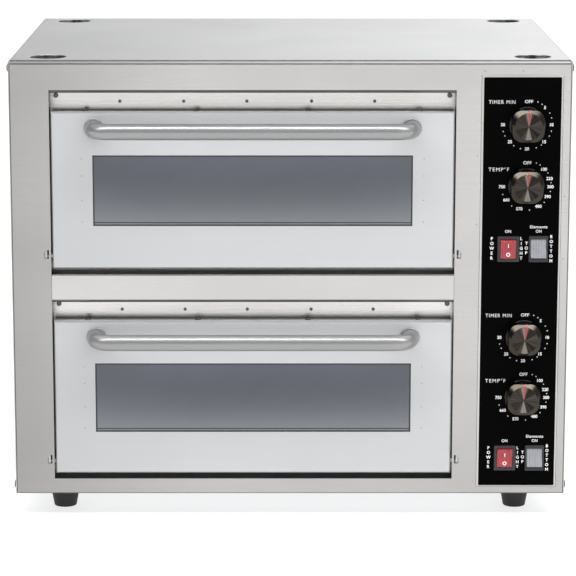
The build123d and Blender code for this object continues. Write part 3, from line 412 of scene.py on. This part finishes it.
def spun_metal():
    """A disc with a sunburst finish: fine lines from its middle, in sectors of slightly different tone, with
    painted highlights in wedges above and below the middle.
    """
    material, tree, shader = new_material("spun_metal")
    tangent = put(tree, "ShaderNodeTangent", direction_type="RADIAL", axis="Y")
    tree.links.new(tangent.outputs["Tangent"], shader.inputs["Tangent"])
    in_box = put(tree, "ShaderNodeTexCoord").outputs["Generated"]
    centred = vector_node(tree, "SUBTRACT", in_box, (0.5, 0.5, 0.5))
    flat = vector_node(tree, "MULTIPLY", centred, (1.0, 0.0, 1.0))
    outwards = vector_node(tree, "NORMALIZE", flat)
    tones = []
    for scale, share in SPUN_NOISES:
        texture = put(tree, "ShaderNodeTexNoise", scale=scale, detail=2.0)
        tree.links.new(outwards, texture.inputs["Vector"])
        tones.append(times(tree, texture.outputs["Fac"], share))
    tone = plus(tree, *tones)
    base = blend_colour(tree, remap(tree, tone, 0.0, 1.0, *SPUN_TONES), SPUN_DARK, SPUN_LIGHT)
    split = put(tree, "ShaderNodeSeparateXYZ")
    tree.links.new(outwards, split.inputs["Vector"])
    upright = math_node(tree, "ABSOLUTE", split.outputs["Z"])
    # A painted highlight in wedges above and below the middle, where the disc's lines stand upright
    highlight_share = times(tree, remap(tree, upright, 0.0, HIGHLIGHT_STRENGTH, *HIGHLIGHT_EDGE), remap(tree, tone, 0.6, 1.0))
    tree.links.new(blend_colour(tree, highlight_share, base, PAINTED_HIGHLIGHT), shader.inputs["Base Color"])
    tree.links.new(remap(tree, tone, 0.22, 0.32), shader.inputs["Roughness"])
    shader.inputs["Metallic"].default_value = 1.0
    shader.inputs["Anisotropic"].default_value = 0.95
    shader.inputs["Anisotropic Rotation"].default_value = 0.25
    return material


# Where the plating of a knob's grip gives way to the plastic of its skirt
PLATE_FADE = 0.2 * MM
PLATE_DARK = (0.040, 0.035, 0.027)
PLATE_LIGHT = (0.052, 0.046, 0.036)
SKIRT_PLASTIC = (0.006, 0.006, 0.007)


def plated_knob():
    """A black plastic skirt with a grip in polished champagne plating."""
    material, tree, shader = new_material("plated_knob")
    skirt = remap(tree, axis(tree, "Y"), 0.0, 1.0, SKIRT_FACE - PLATE_FADE, SKIRT_FACE)
    grain = noise(tree, 700.0)
    plate = blend_colour(tree, remap(tree, grain, 0.0, 1.0), PLATE_DARK, PLATE_LIGHT)
    tree.links.new(blend_colour(tree, skirt, plate, SKIRT_PLASTIC), shader.inputs["Base Color"])
    tree.links.new(rest_of(tree, skirt), shader.inputs["Metallic"])
    tree.links.new(remap(tree, grain, 0.16, 0.24), shader.inputs["Roughness"])
    shader.inputs["Specular IOR Level"].default_value = 0.3
    bump(tree, shader, grain, 0.03 * MM, 0.5)
    return material


SAND_DARK = (0.44, 0.35, 0.24)
SAND_LIGHT = (0.68, 0.58, 0.43)
TOASTED = (0.30, 0.20, 0.12)


def stone():
    """Cordierite: sandy, open-pored, with darker specks and a toasted tone in places."""
    material, tree, shader = new_material("cordierite")
    speck = noise(tree, 420.0, 5.0, 0.7)
    toast = noise(tree, 9.0, 4.0, 0.6)
    sand = blend_colour(tree, remap(tree, speck, 0.0, 1.0, 0.35, 0.65), SAND_DARK, SAND_LIGHT)
    tint = blend_colour(tree, remap(tree, toast, 0.0, 0.5, 0.5, 0.8), sand, TOASTED)
    tree.links.new(tint, shader.inputs["Base Color"])
    tree.links.new(remap(tree, speck, 0.78, 0.92), shader.inputs["Roughness"])
    bump(tree, shader, speck, 0.3 * MM, 0.8)
    return material


# Cells a metre of the wool's fibres, which lie along X in layers
FIBRES = (60.0, 260.0, 900.0)
WOOL_DARK = (0.62, 0.58, 0.48)
WOOL_LIGHT = (0.84, 0.82, 0.75)


def wool():
    """Mineral wool: pale, matt and fibrous."""
    material, tree, shader = new_material("mineral_wool")
    fibre = noise(tree, FIBRES, 4.0, 0.7, 1.0)
    tint = blend_colour(tree, remap(tree, fibre, 0.0, 1.0), WOOL_DARK, WOOL_LIGHT)
    tree.links.new(tint, shader.inputs["Base Color"])
    tree.links.new(remap(tree, fibre, 0.85, 0.98), shader.inputs["Roughness"])
    shader.inputs["Sheen Weight"].default_value = 0.3
    bump(tree, shader, fibre, 1.2 * MM, 0.9)
    return material


# From one moulded rib of a rocker to the next
RIB_PITCH = 3.3 * MM


def ribbed_rocker(name, dark, light):
    """Translucent plastic, moulded with fine upright ribs."""
    material, tree, shader = new_material(name)
    wave = math_node(tree, "SINE", times(tree, axis(tree, "X"), 2.0 * math.pi / RIB_PITCH))
    cloud = noise(tree, (140.0, 140.0, 90.0))
    ribs = plus(tree, remap(tree, cloud, 0.0, 0.5), remap(tree, wave, 0.0, 0.5, -1.0, 1.0))
    tree.links.new(blend_colour(tree, ribs, dark, light), shader.inputs["Base Color"])
    tree.links.new(remap(tree, cloud, 0.16, 0.26), shader.inputs["Roughness"])
    shader.inputs["Coat Weight"].default_value = 0.3
    bump(tree, shader, wave, 0.25 * MM, 0.6)
    return material


# Crystals a metre of the zinc, and their darkest and lightest tones
CRYSTALS = 95.0
ZINC_DARK = (0.42, 0.44, 0.46)
ZINC_LIGHT = (0.60, 0.62, 0.64)


def galvanised():
    """Zinc-coated sheet with its crystal spangle."""
    material, tree, shader = new_material("galvanised_steel")
    cells = put(tree, "ShaderNodeTexVoronoi", scale=CRYSTALS)
    tree.links.new(place(tree), cells.inputs["Vector"])
    grey = put(tree, "ShaderNodeRGBToBW")
    tree.links.new(cells.outputs["Color"], grey.inputs["Color"])
    spangle = grey.outputs["Val"]
    tree.links.new(blend_colour(tree, spangle, ZINC_DARK, ZINC_LIGHT), shader.inputs["Base Color"])
    tree.links.new(remap(tree, spangle, 0.35, 0.5, 0.0, 1.0), shader.inputs["Roughness"])
    shader.inputs["Metallic"].default_value = 0.9
    return material


def ink(name, colour, roughness=0.45):
    return moulded(name, colour, roughness, grain=2500.0, depth=0.01 * MM, variation=0.03)


STEEL = (0.60, 0.588, 0.578)
# The doors are whiter and duller than the casing, like steel with a satin film on it
FILM = (0.565, 0.571, 0.58)
RAIL_SET_BACK = 0.8 * MM
DOOR_RIM = 1.5 * MM
finishes = {
    # The casing: painted shade in its folds and gaps, and painted shade towards the floor and the left end
    "casing": brushed(
        "brushed_casing",
        STEEL,
        "x",
        contrast=0.05,
        smudge=0.07,
        painted_shade=painted_fold_shade(),
        corner_shade=painted_corner_shade(0.77, 0.72),
    ),
    "plate": brushed("brushed_plate", STEEL, "x"),
    # The top: painted shade and painted streaks of reflection in its stacking cups
    "top": brushed("brushed_top", (0.60, 0.603, 0.61), "x", painted_shade=painted_cup_shade),
    "side": brushed("brushed_side", STEEL, "y"),
    # The rail: painted shade in its folds and gaps
    "rail": brushed(
        "brushed_rail",
        (0.60, 0.592, 0.582),
        "x",
        contrast=0.05,
        smudge=0.07,
        painted_shade=painted_fold_shade(RAIL_SET_BACK),
    ),
    # The doors: lighter painted shade in their folds and gaps, and a little painted shade towards the floor
    # and the left end
    "door": brushed(
        "brushed_door",
        FILM,
        "x",
        roughness=0.48,
        contrast=0.03,
        smudge=0.02,
        painted_shade=painted_fold_shade(share=0.6, tops=DOOR_TOPS, rim=DOOR_RIM),
        metallic=0.3,
        corner_shade=painted_corner_shade(0.93, 0.88),
    ),
    "lintel": brushed("brushed_lintel", (0.715, 0.703, 0.688), "x", roughness=0.26),
    "handle": brushed(
        "satin_handle", (0.32, 0.321, 0.322), "x", roughness=0.34, contrast=0.03, metallic=0.6
    ),
    "liner": brushed("aluminised_steel", (0.50, 0.49, 0.47), "x", roughness=0.42, contrast=0.1),
    "galvanised": galvanised(),
    "plated": moulded("plated_screws", (0.40, 0.39, 0.375), 0.22, metallic=1.0),
    "blacked": moulded("blacked_screws", (0.13, 0.125, 0.12), 0.3, metallic=1.0),
    "ground": brushed("ground_steel", (0.45, 0.44, 0.43), "x"),
    "element": moulded("oxidised_element", (0.075, 0.068, 0.062), 0.5, depth=0.1 * MM, metallic=0.6),
    "upper_glass": window_glass("upper"),
    "lower_glass": window_glass("lower"),
    "lamp": moulded("lamp_glass", (0.85, 0.84, 0.80), 0.12, depth=0.1 * MM, Transmission_Weight=0.7),
    "stone": stone(),
    "wool": wool(),
    "rubber": moulded("foot_rubber", (0.014, 0.013, 0.012), 0.62, grain=1400.0, depth=0.1 * MM),
    "overlay": moulded(
        "overlay_black",
        (0.001, 0.001, 0.0011),
        0.3,
        grain=2200.0,
        depth=0.008 * MM,
        Specular_IOR_Level=0.02,
    ),
    "mechanism": moulded("mechanism_plastic", (0.05, 0.05, 0.055), 0.5),
    "ceramic": moulded("thermostat_ceramic", (0.70, 0.68, 0.62), 0.3),
    "knob": plated_knob(),
    "spun": spun_metal(),
    "red": ribbed_rocker("rocker_red", (0.22, 0.006, 0.010), (0.43, 0.030, 0.040)),
    "grey": ribbed_rocker("rocker_grey", (0.22, 0.225, 0.245), (0.31, 0.315, 0.34)),
    "switch": moulded("switch_black", (0.016, 0.016, 0.018), 0.3, depth=0.02 * MM),
    "terminal": moulded("terminal_white", (0.74, 0.72, 0.66), 0.4),
    "nylon": moulded("gland_nylon", (0.02, 0.02, 0.021), 0.45),
    "print": ink("printed_white", (0.86, 0.86, 0.86)),
    "pointer": ink("pointer_red", (0.29, 0.05, 0.042), 0.35),
    "weld": moulded("spot_weld", (0.36, 0.355, 0.35), 0.4, depth=0.1 * MM, metallic=1.0),
}
plain_nodes = {
    "front_panel": "casing",
    "mid_rail": "rail",
    "left_side_cover": "side",
    "right_side_cover": "side",
    "top_cover": "top",
    "back_cover": "plate",
    "base_plate": "galvanised",
    "rubber_feet": "rubber",
    "foot_screws": "plated",
    "cover_screws": "blacked",
    "face_frames": "lintel",
    "frame_fasteners": "blacked",
    "upper_chamber": "liner",
    "lower_chamber": "liner",
    "baking_stones": "stone",
    "top_elements": "element",
    "bottom_elements": "element",
    "oven_lamps": "lamp",
    "insulation_blankets": "wool",
    "compartment_wall": "galvanised",
    "control_panel": "plate",
    "control_overlay": "overlay",
    "timer_mechanisms": "mechanism",
    "thermostats": "ceramic",
    "switch_housings": "switch",
    "hinge_brackets": "galvanised",
    "terminal_block": "terminal",
    "cable_gland": "nylon",
}
door_nodes = {
    "skin": "door",
    "liner": "liner",
    "glazing_frame": "liner",
    "insulation": "wool",
    "handle": "handle",
    "screws": "blacked",
    "hinge_pins": "ground",
}
for deck in DECKS:
    plain_nodes.update({f"{deck}_door_{piece}": finish for piece, finish in door_nodes.items()})
    plain_nodes[f"{deck}_door_panes"] = f"{deck}_glass"
    for kind in ("timer", "thermostat"):
        plain_nodes[f"{deck}_{kind}_knob"] = "knob"
        plain_nodes[f"{deck}_{kind}_knob_cap"] = "spun"
        plain_nodes[f"{deck}_{kind}_shaft"] = "ground"
    plain_nodes[f"{deck}_power_rocker"] = "red"
    plain_nodes[f"{deck}_element_rocker"] = "grey"
for name, finish in plain_nodes.items():
    mesh = nodes[name].data
    mesh.materials.clear()
    mesh.materials.append(finishes[finish])

# ------------------------------------------------------------------ printing on the overlay

# How tall a capital is, as a share of the font's size
CAP_SHARE = 0.73
# How thick the ink is, and how far its middle stands in front of the overlay
INK_T = 0.08 * MM
INK_OUT = 0.03 * MM


def glyphs(text, height, width=None, bold=0.035, spacing=1.0):
    """The text as a flat mesh, upright and facing -Y, with its middle at the origin.

    bold is how far the outlines are pushed out, as a share of the height.
    """
    curve = bpy.data.curves.new("text", "FONT")
    curve.body = text
    curve.size = height / CAP_SHARE
    curve.align_x = "CENTER"
    curve.offset = bold * height
    curve.space_character = spacing
    curve.extrude = INK_T / 2
    curve.resolution_u = 4
    letters = bpy.data.objects.new("text", curve)
    bpy.context.scene.collection.objects.link(letters)
    bpy.context.view_layer.update()
    graph = bpy.context.evaluated_depsgraph_get()
    mesh = bpy.data.meshes.new_from_object(letters.evaluated_get(graph))
    bpy.data.objects.remove(letters)
    bpy.data.curves.remove(curve)
    xs = [v.co.x for v in mesh.vertices]
    ys = [v.co.y for v in mesh.vertices]
    centre = Vector(((min(xs) + max(xs)) / 2, (min(ys) + max(ys)) / 2, 0.0))
    stretch = width / (max(xs) - min(xs)) if width else 1.0
    mesh.transform(Matrix.Diagonal((stretch, 1.0, 1.0, 1.0)) @ Matrix.Translation(-centre))
    mesh.transform(Matrix.Rotation(math.radians(90), 4, "X"))
    return mesh


def disc(radius, segments=10, depth=INK_T):
    """A thin round spot facing -Y, with its middle at the origin."""
    turns = [2 * math.pi * i / segments for i in range(segments)]
    ring = [(radius * math.cos(a), radius * math.sin(a)) for a in turns]
    points = [(x, y, z) for y in (-depth / 2, depth / 2) for x, z in ring]
    front = tuple(range(segments))
    back = tuple(reversed(range(segments, 2 * segments)))
    followers = [(i + 1) % segments for i in range(segments)]
    sides = [(i, i + segments, j + segments, j) for i, j in enumerate(followers)]
    mesh = bpy.data.meshes.new("disc")
    mesh.from_pydata(points, [], [front, back, *sides])
    return mesh


def joined(name, parts, material, body):
    """One object of many small meshes, each with the place that it goes to."""
    points, faces = [], []
    for mesh, spot in parts:
        start = len(points)
        points += [v.co + spot for v in mesh.vertices]
        faces += [tuple(start + i for i in p.vertices) for p in mesh.polygons]
        bpy.data.meshes.remove(mesh)
    mesh = bpy.data.meshes.new(name)
    mesh.from_pydata(points, [], faces)
    mesh.validate()
    mesh.materials.append(material)
    piece = bpy.data.objects.new(name, mesh)
    bpy.context.scene.collection.objects.link(piece)
    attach(piece, body)
    return piece


# How far from the middle of a dial its numbers and its dots stand, the numbers' height and the dots' radius
LABEL_R = 30.7 * MM
DOT_R = 31.5 * MM
LABEL_H = 4.0 * MM
DOT_SIZE = 0.65 * MM
# Each number and each dot of the dials, with degrees clockwise from the top
TIMER_LABELS = [("5", 45), ("10", 90), ("15", 135), ("20", 180), ("25", 225), ("30", 270)]
TIMER_DOTS = (24, 35, 62, 74, 105, 117, 145, 158, 195, 212, 243, 254)
HEAT_LABELS = [
    ("100", 46.6),
    ("220", 72.4),
    ("300", 92.4),
    ("390", 117),
    ("480", 149),
    ("570", 195.6),
    ("660", 233.8),
    ("750", 267.6),
]
HEAT_DOTS = (23, 33, 59, 83, 103.6, 132.6, 171.5, 215, 249)
# Names of dials are taller than other words, in thin and wide-set letters: height in mm, boldness, spacing
NAME_H = 4.9
NAME_STYLE = (-0.01, 1.2)
WORD_STYLE = (0.012, 1.0)
# The words of each deck: text, the control they stand by, mm to its right and above it, letter height, width
WORDS = [
    ("TIMER MIN", "timer", -32.2, 28.6, NAME_H, 33.3),
    ("OFF", "timer", 1.6, 29.3, 4.2, 10.4),
    ("TEMP°F", "thermostat", -35.0, 20.9, NAME_H, 26.0),
    ("OFF", "thermostat", 1.0, 29.3, 4.2, 10.4),
    ("ON", "power", -0.5, 22.7, 3.8, 7.4),
    ("Elements", "element", 0.0, 28.6, 3.8, 22.0),
    ("ON", "element", 0.0, 22.9, 3.8, 7.4),
]
# Words read downwards, letter under letter: text, the control, mm to the first letter, pitch of the letters
STACKED_H = 3.9 * MM
STACKS = [
    ("POWER", "power", -20.9, 13.4, 6.27),
    ("LIGHT", "power", 16.5, 13.4, 6.27),
    ("TOP", "element", -15.2, 7.4, 6.2),
    ("BOTTOM", "element", 16.2, 16.0, 6.26),
]


def around(centre, radius, degrees):
    """The point at this radius and this far clockwise from the top of a dial."""
    turn = math.radians(degrees)
    return centre + Vector((radius * math.sin(turn), 0.0, radius * math.cos(turn)))


pivot_heights = {}
for deck in DECKS:
    anchors = {
        "timer": middle(f"{deck}_timer_shaft"),
        "thermostat": middle(f"{deck}_thermostat_shaft"),
        "power": middle(f"{deck}_power_rocker"),
        "element": middle(f"{deck}_element_rocker"),
    }
    for spot in anchors.values():
        spot.y = OVERLAY_FACE - INK_OUT
    # Both rockers turn about the same height, so the mean of their boxes is the height of the pivots
    pivot_z = (anchors["power"].z + anchors["element"].z) / 2
    anchors["power"].z = pivot_z
    anchors["element"].z = pivot_z
    pivot_heights[deck] = pivot_z
    printed = []
    for dial, labels, dots in (
        ("timer", TIMER_LABELS, TIMER_DOTS),
        ("thermostat", HEAT_LABELS, HEAT_DOTS),
    ):
        for text, degrees in labels:
            printed.append((glyphs(text, LABEL_H), around(anchors[dial], LABEL_R, degrees)))
        for degrees in dots:
            printed.append((disc(DOT_SIZE), around(anchors[dial], DOT_R, degrees)))
    for text, anchor, dx, dz, height, width in WORDS:
        spot = anchors[anchor] + Vector((dx, 0.0, dz)) * MM
        bold, spacing = NAME_STYLE if height == NAME_H else WORD_STYLE
        printed.append((glyphs(text, height * MM, width * MM, bold, spacing), spot))
    for text, anchor, dx, dz, pitch in STACKS:
        for index, letter in enumerate(text):
            spot = anchors[anchor] + Vector((dx, 0.0, dz - index * pitch)) * MM
            printed.append((glyphs(letter, STACKED_H), spot))
    joined(f"{deck}_overlay_printing", printed, finishes["print"], BODY)

# ------------------------------------------------------------------ pointers on the knobs


def ribbon(outline, half_t):
    """A thin closed plate between rows of points: each row is (left, right, height, depth) in mm."""
    points, faces = [], []
    for y_shift in (-half_t, half_t):
        for left, right, height, depth in outline:
            points.append(Vector((left, depth + y_shift, height)) * MM)
            points.append(Vector((right, depth + y_shift, height)) * MM)
    rows = len(outline)
    for row in range(rows - 1):
        a = 2 * row
        b = a + 2 * rows
        faces += [(a, a + 1, a + 3, a + 2), (b, b + 2, b + 3, b + 1)]
        faces += [(a, a + 2, b + 2, b), (a + 1, b + 1, b + 3, a + 3)]
    last = 2 * rows - 2
    faces.append((0, 2 * rows, 2 * rows + 1, 1))
    faces.append((last, last + 1, last + 2 * rows + 1, last + 2 * rows))
    mesh = bpy.data.meshes.new("ribbon")
    mesh.from_pydata(points, [], faces)
    return mesh


# All in mm. How the grip slopes back from the rim of its cap, and how far out it goes
BEVEL_SLOPE = 1.2
GRIP_OUT = 20.3
# A pointer starts as a thin stripe near the middle of the cap: its sides and its height
STRIPE_START = (0.0, 1.2, 2.4)
# Its left side from the cap's rim on, and its right side at the rim, on the bevel and at the grip's edge
STRIPE_LEFT = -0.9
STRIPE_RIGHTS = (3.2, 3.3, 3.5)
# How far inside the cap's rim the stripe stops, and how far outside and behind it the bevel's part begins
STOPS_INSIDE = 0.4
BEGINS_OUTSIDE = 0.5
BEGINS_BEHIND = 0.4
POINTER_HALF_T = 0.1
for deck in DECKS:
    for kind in ("timer", "thermostat"):
        low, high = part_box(f"{deck}_{kind}_knob_cap")
        centre = Vector(((low.x + high.x) / 2, low.y, (low.z + high.z) / 2))
        rim = (high.x - low.x) / 2 / MM
        bevel_rim = rim + BEGINS_OUTSIDE
        bevel_end = BEGINS_BEHIND + (GRIP_OUT - bevel_rim) / BEVEL_SLOPE
        on_cap = [
            (*STRIPE_START, 0.0),
            (STRIPE_LEFT, STRIPE_RIGHTS[0], rim - STOPS_INSIDE, 0.0),
        ]
        on_bevel = [
            (STRIPE_LEFT, STRIPE_RIGHTS[1], bevel_rim, BEGINS_BEHIND),
            (STRIPE_LEFT, STRIPE_RIGHTS[2], GRIP_OUT, bevel_end),
        ]
        parts = [(ribbon(rows, POINTER_HALF_T), centre) for rows in (on_cap, on_bevel)]
        joined(f"{deck}_{kind}_pointer", parts, finishes["pointer"], f"{deck}_{kind}_knob_set")

# ------------------------------------------------------------------ marks on the power rockers

# The rocker's face is a shallow V about its pivot, and the lower half is flush when the switch is on
ROCKER_ANGLE = math.radians(11.0)
# In mm: from the pivot out to the crease between the halves, and from the panel's face back to the pivot
ROCKER_FACE = 2.0
PIVOT_BACK = 0.5
# In mm: the dash on the upper half, from its lower to its upper end, and the zero on the lower half
DASH_HALF_W = 0.5
DASH_ENDS = (2.2, 7.4)
DASH_HALF_T = 0.05
DASH_OUT = 0.25
ZERO_OUTER = 2.6
ZERO_INNER = 1.5
ZERO_Z = -7.2
MARK_OUT = 0.05


def ring(outer, inner, segments=20, depth=INK_T):
    """A thin flat ring facing -Y, with its middle at the origin."""
    points, faces = [], []
    for radius in (outer, inner):
        for y in (-depth / 2, depth / 2):
            for i in range(segments):
                turn = 2 * math.pi * i / segments
                points.append((radius * math.cos(turn), y, radius * math.sin(turn)))
    for i in range(segments):
        j = (i + 1) % segments
        # Round the section: outer front, inner front, inner back, outer back
        loops = [k * segments for k in (0, 2, 3, 1)]
        for first, second in zip(loops, loops[1:] + loops[:1]):
            faces.append((first + i, first + j, second + j, second + i))
    mesh = bpy.data.meshes.new("ring")
    mesh.from_pydata(points, [], faces)
    return mesh


for deck in DECKS:
    low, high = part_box(f"{deck}_power_rocker")
    pivot = Vector(((low.x + high.x) / 2, FRONT_Y + PIVOT_BACK * MM, pivot_heights[deck]))
    flush = -ROCKER_FACE * math.cos(ROCKER_ANGLE) - MARK_OUT
    dash = ribbon([(-DASH_HALF_W, DASH_HALF_W, height, 0.0) for height in DASH_ENDS], DASH_HALF_T)
    dash.transform(Matrix.Rotation(2 * ROCKER_ANGLE, 4, "X"))
    zero = ring(ZERO_OUTER * MM, ZERO_INNER * MM)
    spots = [
        (dash, Vector((0, flush - DASH_OUT, 0)) * MM),
        (zero, Vector((0, flush, ZERO_Z)) * MM),
    ]
    parts = [(mesh, pivot + spot) for mesh, spot in spots]
    joined(f"{deck}_power_marks", parts, finishes["print"], f"{deck}_power_rocker_set")

# ------------------------------------------------------------------ spot welds

# The radius of a weld's mark, and how far its middle stands in front of the sheet
WELD_R = 1.0 * MM
WELD_OUT = 0.02 * MM
# Beside each window, measured from the middle of the pane in mm
WELD_X = 216.3
WELD_HEIGHTS = (40.9, 19.0, -12.2, -40.3)
for deck in DECKS:
    centre = middle(f"{deck}_door_panes")
    centre.y = FRONT_Y - WELD_OUT
    spots = [Vector((side * WELD_X, 0, z)) * MM for side in (-1, 1) for z in WELD_HEIGHTS]
    parts = [(disc(WELD_R), centre + spot) for spot in spots]
    joined(f"{deck}_door_welds", parts, finishes["weld"], f"{deck}_door")

# Round the control opening, measured from the middle of the overlay in mm
PANEL_WELDS = [(-48.0, 273.0), (0.0, 273.0), (-56.0, 165.0), (-56.0, 77.5), (-56.0, -259.5)]
PANEL_WELDS += [(55.0, 113.4), (55.0, 33.0), (55.0, -259.5), (45.0, -269.0)]
centre = middle("control_overlay")
centre.y = FRONT_Y - WELD_OUT
parts = [(disc(WELD_R), centre + Vector((x, 0, z)) * MM) for x, z in PANEL_WELDS]
joined("front_panel_welds", parts, finishes["weld"], BODY)

# ------------------------------------------------------------------ floor, light and camera

FLOOR_SIZE = 60.0
FLOOR_DARK = (0.39, 0.39, 0.39)
FLOOR_LIGHT = (0.41, 0.41, 0.41)
WHITE = (1.0, 1.0, 1.0, 1.0)
bpy.ops.mesh.primitive_plane_add(size=FLOOR_SIZE, location=(0, 0, 0))
floor = bpy.context.object
floor.name = "floor"
floor_material, floor_tree, floor_shader = new_material("pale_floor")
tint = blend_colour(floor_tree, noise(floor_tree, 0.7, 2.0), FLOOR_DARK, FLOOR_LIGHT)
floor_tree.links.new(tint, floor_shader.inputs["Base Color"])
floor_shader.inputs["Roughness"].default_value = 0.6
# The floor is a light table, so the oven's shadow on it is faint
floor_shader.inputs["Emission Color"].default_value = WHITE
floor_shader.inputs["Emission Strength"].default_value = 0.72
floor.data.materials.append(floor_material)

# A soft lamp in front and at the right, which doesn't show in the steel
LAMP_AT = Vector((1.6, -2.1, 0.9))
LAMP_AIM = Vector((0.1, -1.0, 0.0))
LAMP_SIZE = 1.0
LAMP_POWER = 12.0
light = bpy.data.lights.new("right", "AREA")
light.shape = "SQUARE"
light.size = LAMP_SIZE
light.energy = LAMP_POWER
lamp = bpy.data.objects.new("right", light)
lamp.location = LAMP_AT
lamp.rotation_euler = (LAMP_AIM - LAMP_AT).to_track_quat("-Z", "Y").to_euler()
lamp.visible_glossy = False
bpy.context.scene.collection.objects.link(lamp)

# The studio by direction: a pair is where a band begins and ends, along one axis of the direction.
# Dimmed in front of the oven, above the floor
AHEAD = (-0.75, -0.1)
AHEAD_TOP = (0.45, 0.85)
AHEAD_FOOT = (-0.02, 0.12)
AHEAD_DIMMED = 0.6
# Brighter towards the right, from one strength to the other
SIDEWAYS = (-0.9, 0.9)
SIDE_STRENGTHS = (0.20, 0.54)
# Behind the oven, brighter towards the right again
BEHIND = (0.3, 0.8)
BEHIND_TOP = (0.35, 0.8)
BACK_WALL = (-0.3, 0.16)
BACK_STRENGTHS = (0.16, 1.5)
# A long lamp bank overhead, a little in front of the oven
BANK_ENDS = (0.66, 0.78)
BANK_Y = -0.35
BANK_EDGES = (0.07, 0.11)
BANK_FOOT = (0.0, 0.1)
BANK_STRENGTH = 12.5
# How bright it is where it shows directly, as a plain backdrop
BACKDROP_STRENGTH = 1.1

world = bpy.data.worlds.new("studio")
bpy.context.scene.world = world
world.use_nodes = True
sky = world.node_tree
background = sky.nodes["Background"]
axes = put(sky, "ShaderNodeSeparateXYZ")
sky.links.new(put(sky, "ShaderNodeTexCoord").outputs["Generated"], axes.inputs["Vector"])
to_x, to_y, to_z = axes.outputs

ahead = remap(sky, to_y, 1.0, 0.0, *AHEAD)
below_top = remap(sky, to_z, 1.0, 0.0, *AHEAD_TOP)
above_foot = remap(sky, to_z, 0.0, 1.0, *AHEAD_FOOT)
dimmed = times(sky, times(sky, ahead, below_top), above_foot)
sideways = remap(sky, to_x, *SIDE_STRENGTHS, *SIDEWAYS)
front_half = times(sky, sideways, remap(sky, dimmed, 1.0, AHEAD_DIMMED, 0.0, 1.0))

behind = times(sky, remap(sky, to_y, 0.0, 1.0, *BEHIND), remap(sky, to_z, 1.0, 0.0, *BEHIND_TOP))
room = blend_number(sky, behind, front_half, remap(sky, to_x, *BACK_STRENGTHS, *BACK_WALL))

bank_x = remap(sky, math_node(sky, "ABSOLUTE", to_x), 1.0, 0.0, *BANK_ENDS)
off_bank = math_node(sky, "ABSOLUTE", math_node(sky, "SUBTRACT", to_y, BANK_Y))
bank_y = remap(sky, off_bank, 1.0, 0.0, *BANK_EDGES)
bank_z = remap(sky, to_z, 0.0, BANK_STRENGTH, *BANK_FOOT)
lit = plus(sky, room, times(sky, times(sky, bank_x, bank_y), bank_z))

seen = put(sky, "ShaderNodeLightPath").outputs["Is Camera Ray"]
sky.links.new(blend_number(sky, seen, lit, BACKDROP_STRENGTH), background.inputs["Strength"])
background.inputs["Color"].default_value = WHITE

CAMERA_DISTANCE = 3.3296
CAMERA_HEIGHT = 0.9737
CAMERA_X = -0.0176
CAMERA_PITCH = math.radians(11.416)
SENSOR_WIDTH = 36.0
FOCAL_LENGTH = 166.55
SHIFT_X = 0.0202
CLIP_END = 100.0
lens = bpy.data.cameras.new("camera")
lens.sensor_width = SENSOR_WIDTH
lens.lens = FOCAL_LENGTH
lens.shift_x = SHIFT_X
lens.clip_end = CLIP_END
camera = bpy.data.objects.new("camera", lens)
camera.location = (CAMERA_X, FRONT_Y - CAMERA_DISTANCE, CAMERA_HEIGHT)
camera.rotation_euler = (math.radians(90) - CAMERA_PITCH, 0.0, 0.0)
bpy.context.scene.collection.objects.link(camera)
bpy.context.scene.camera = camera
bpy.context.scene.view_settings.view_transform = "Standard"
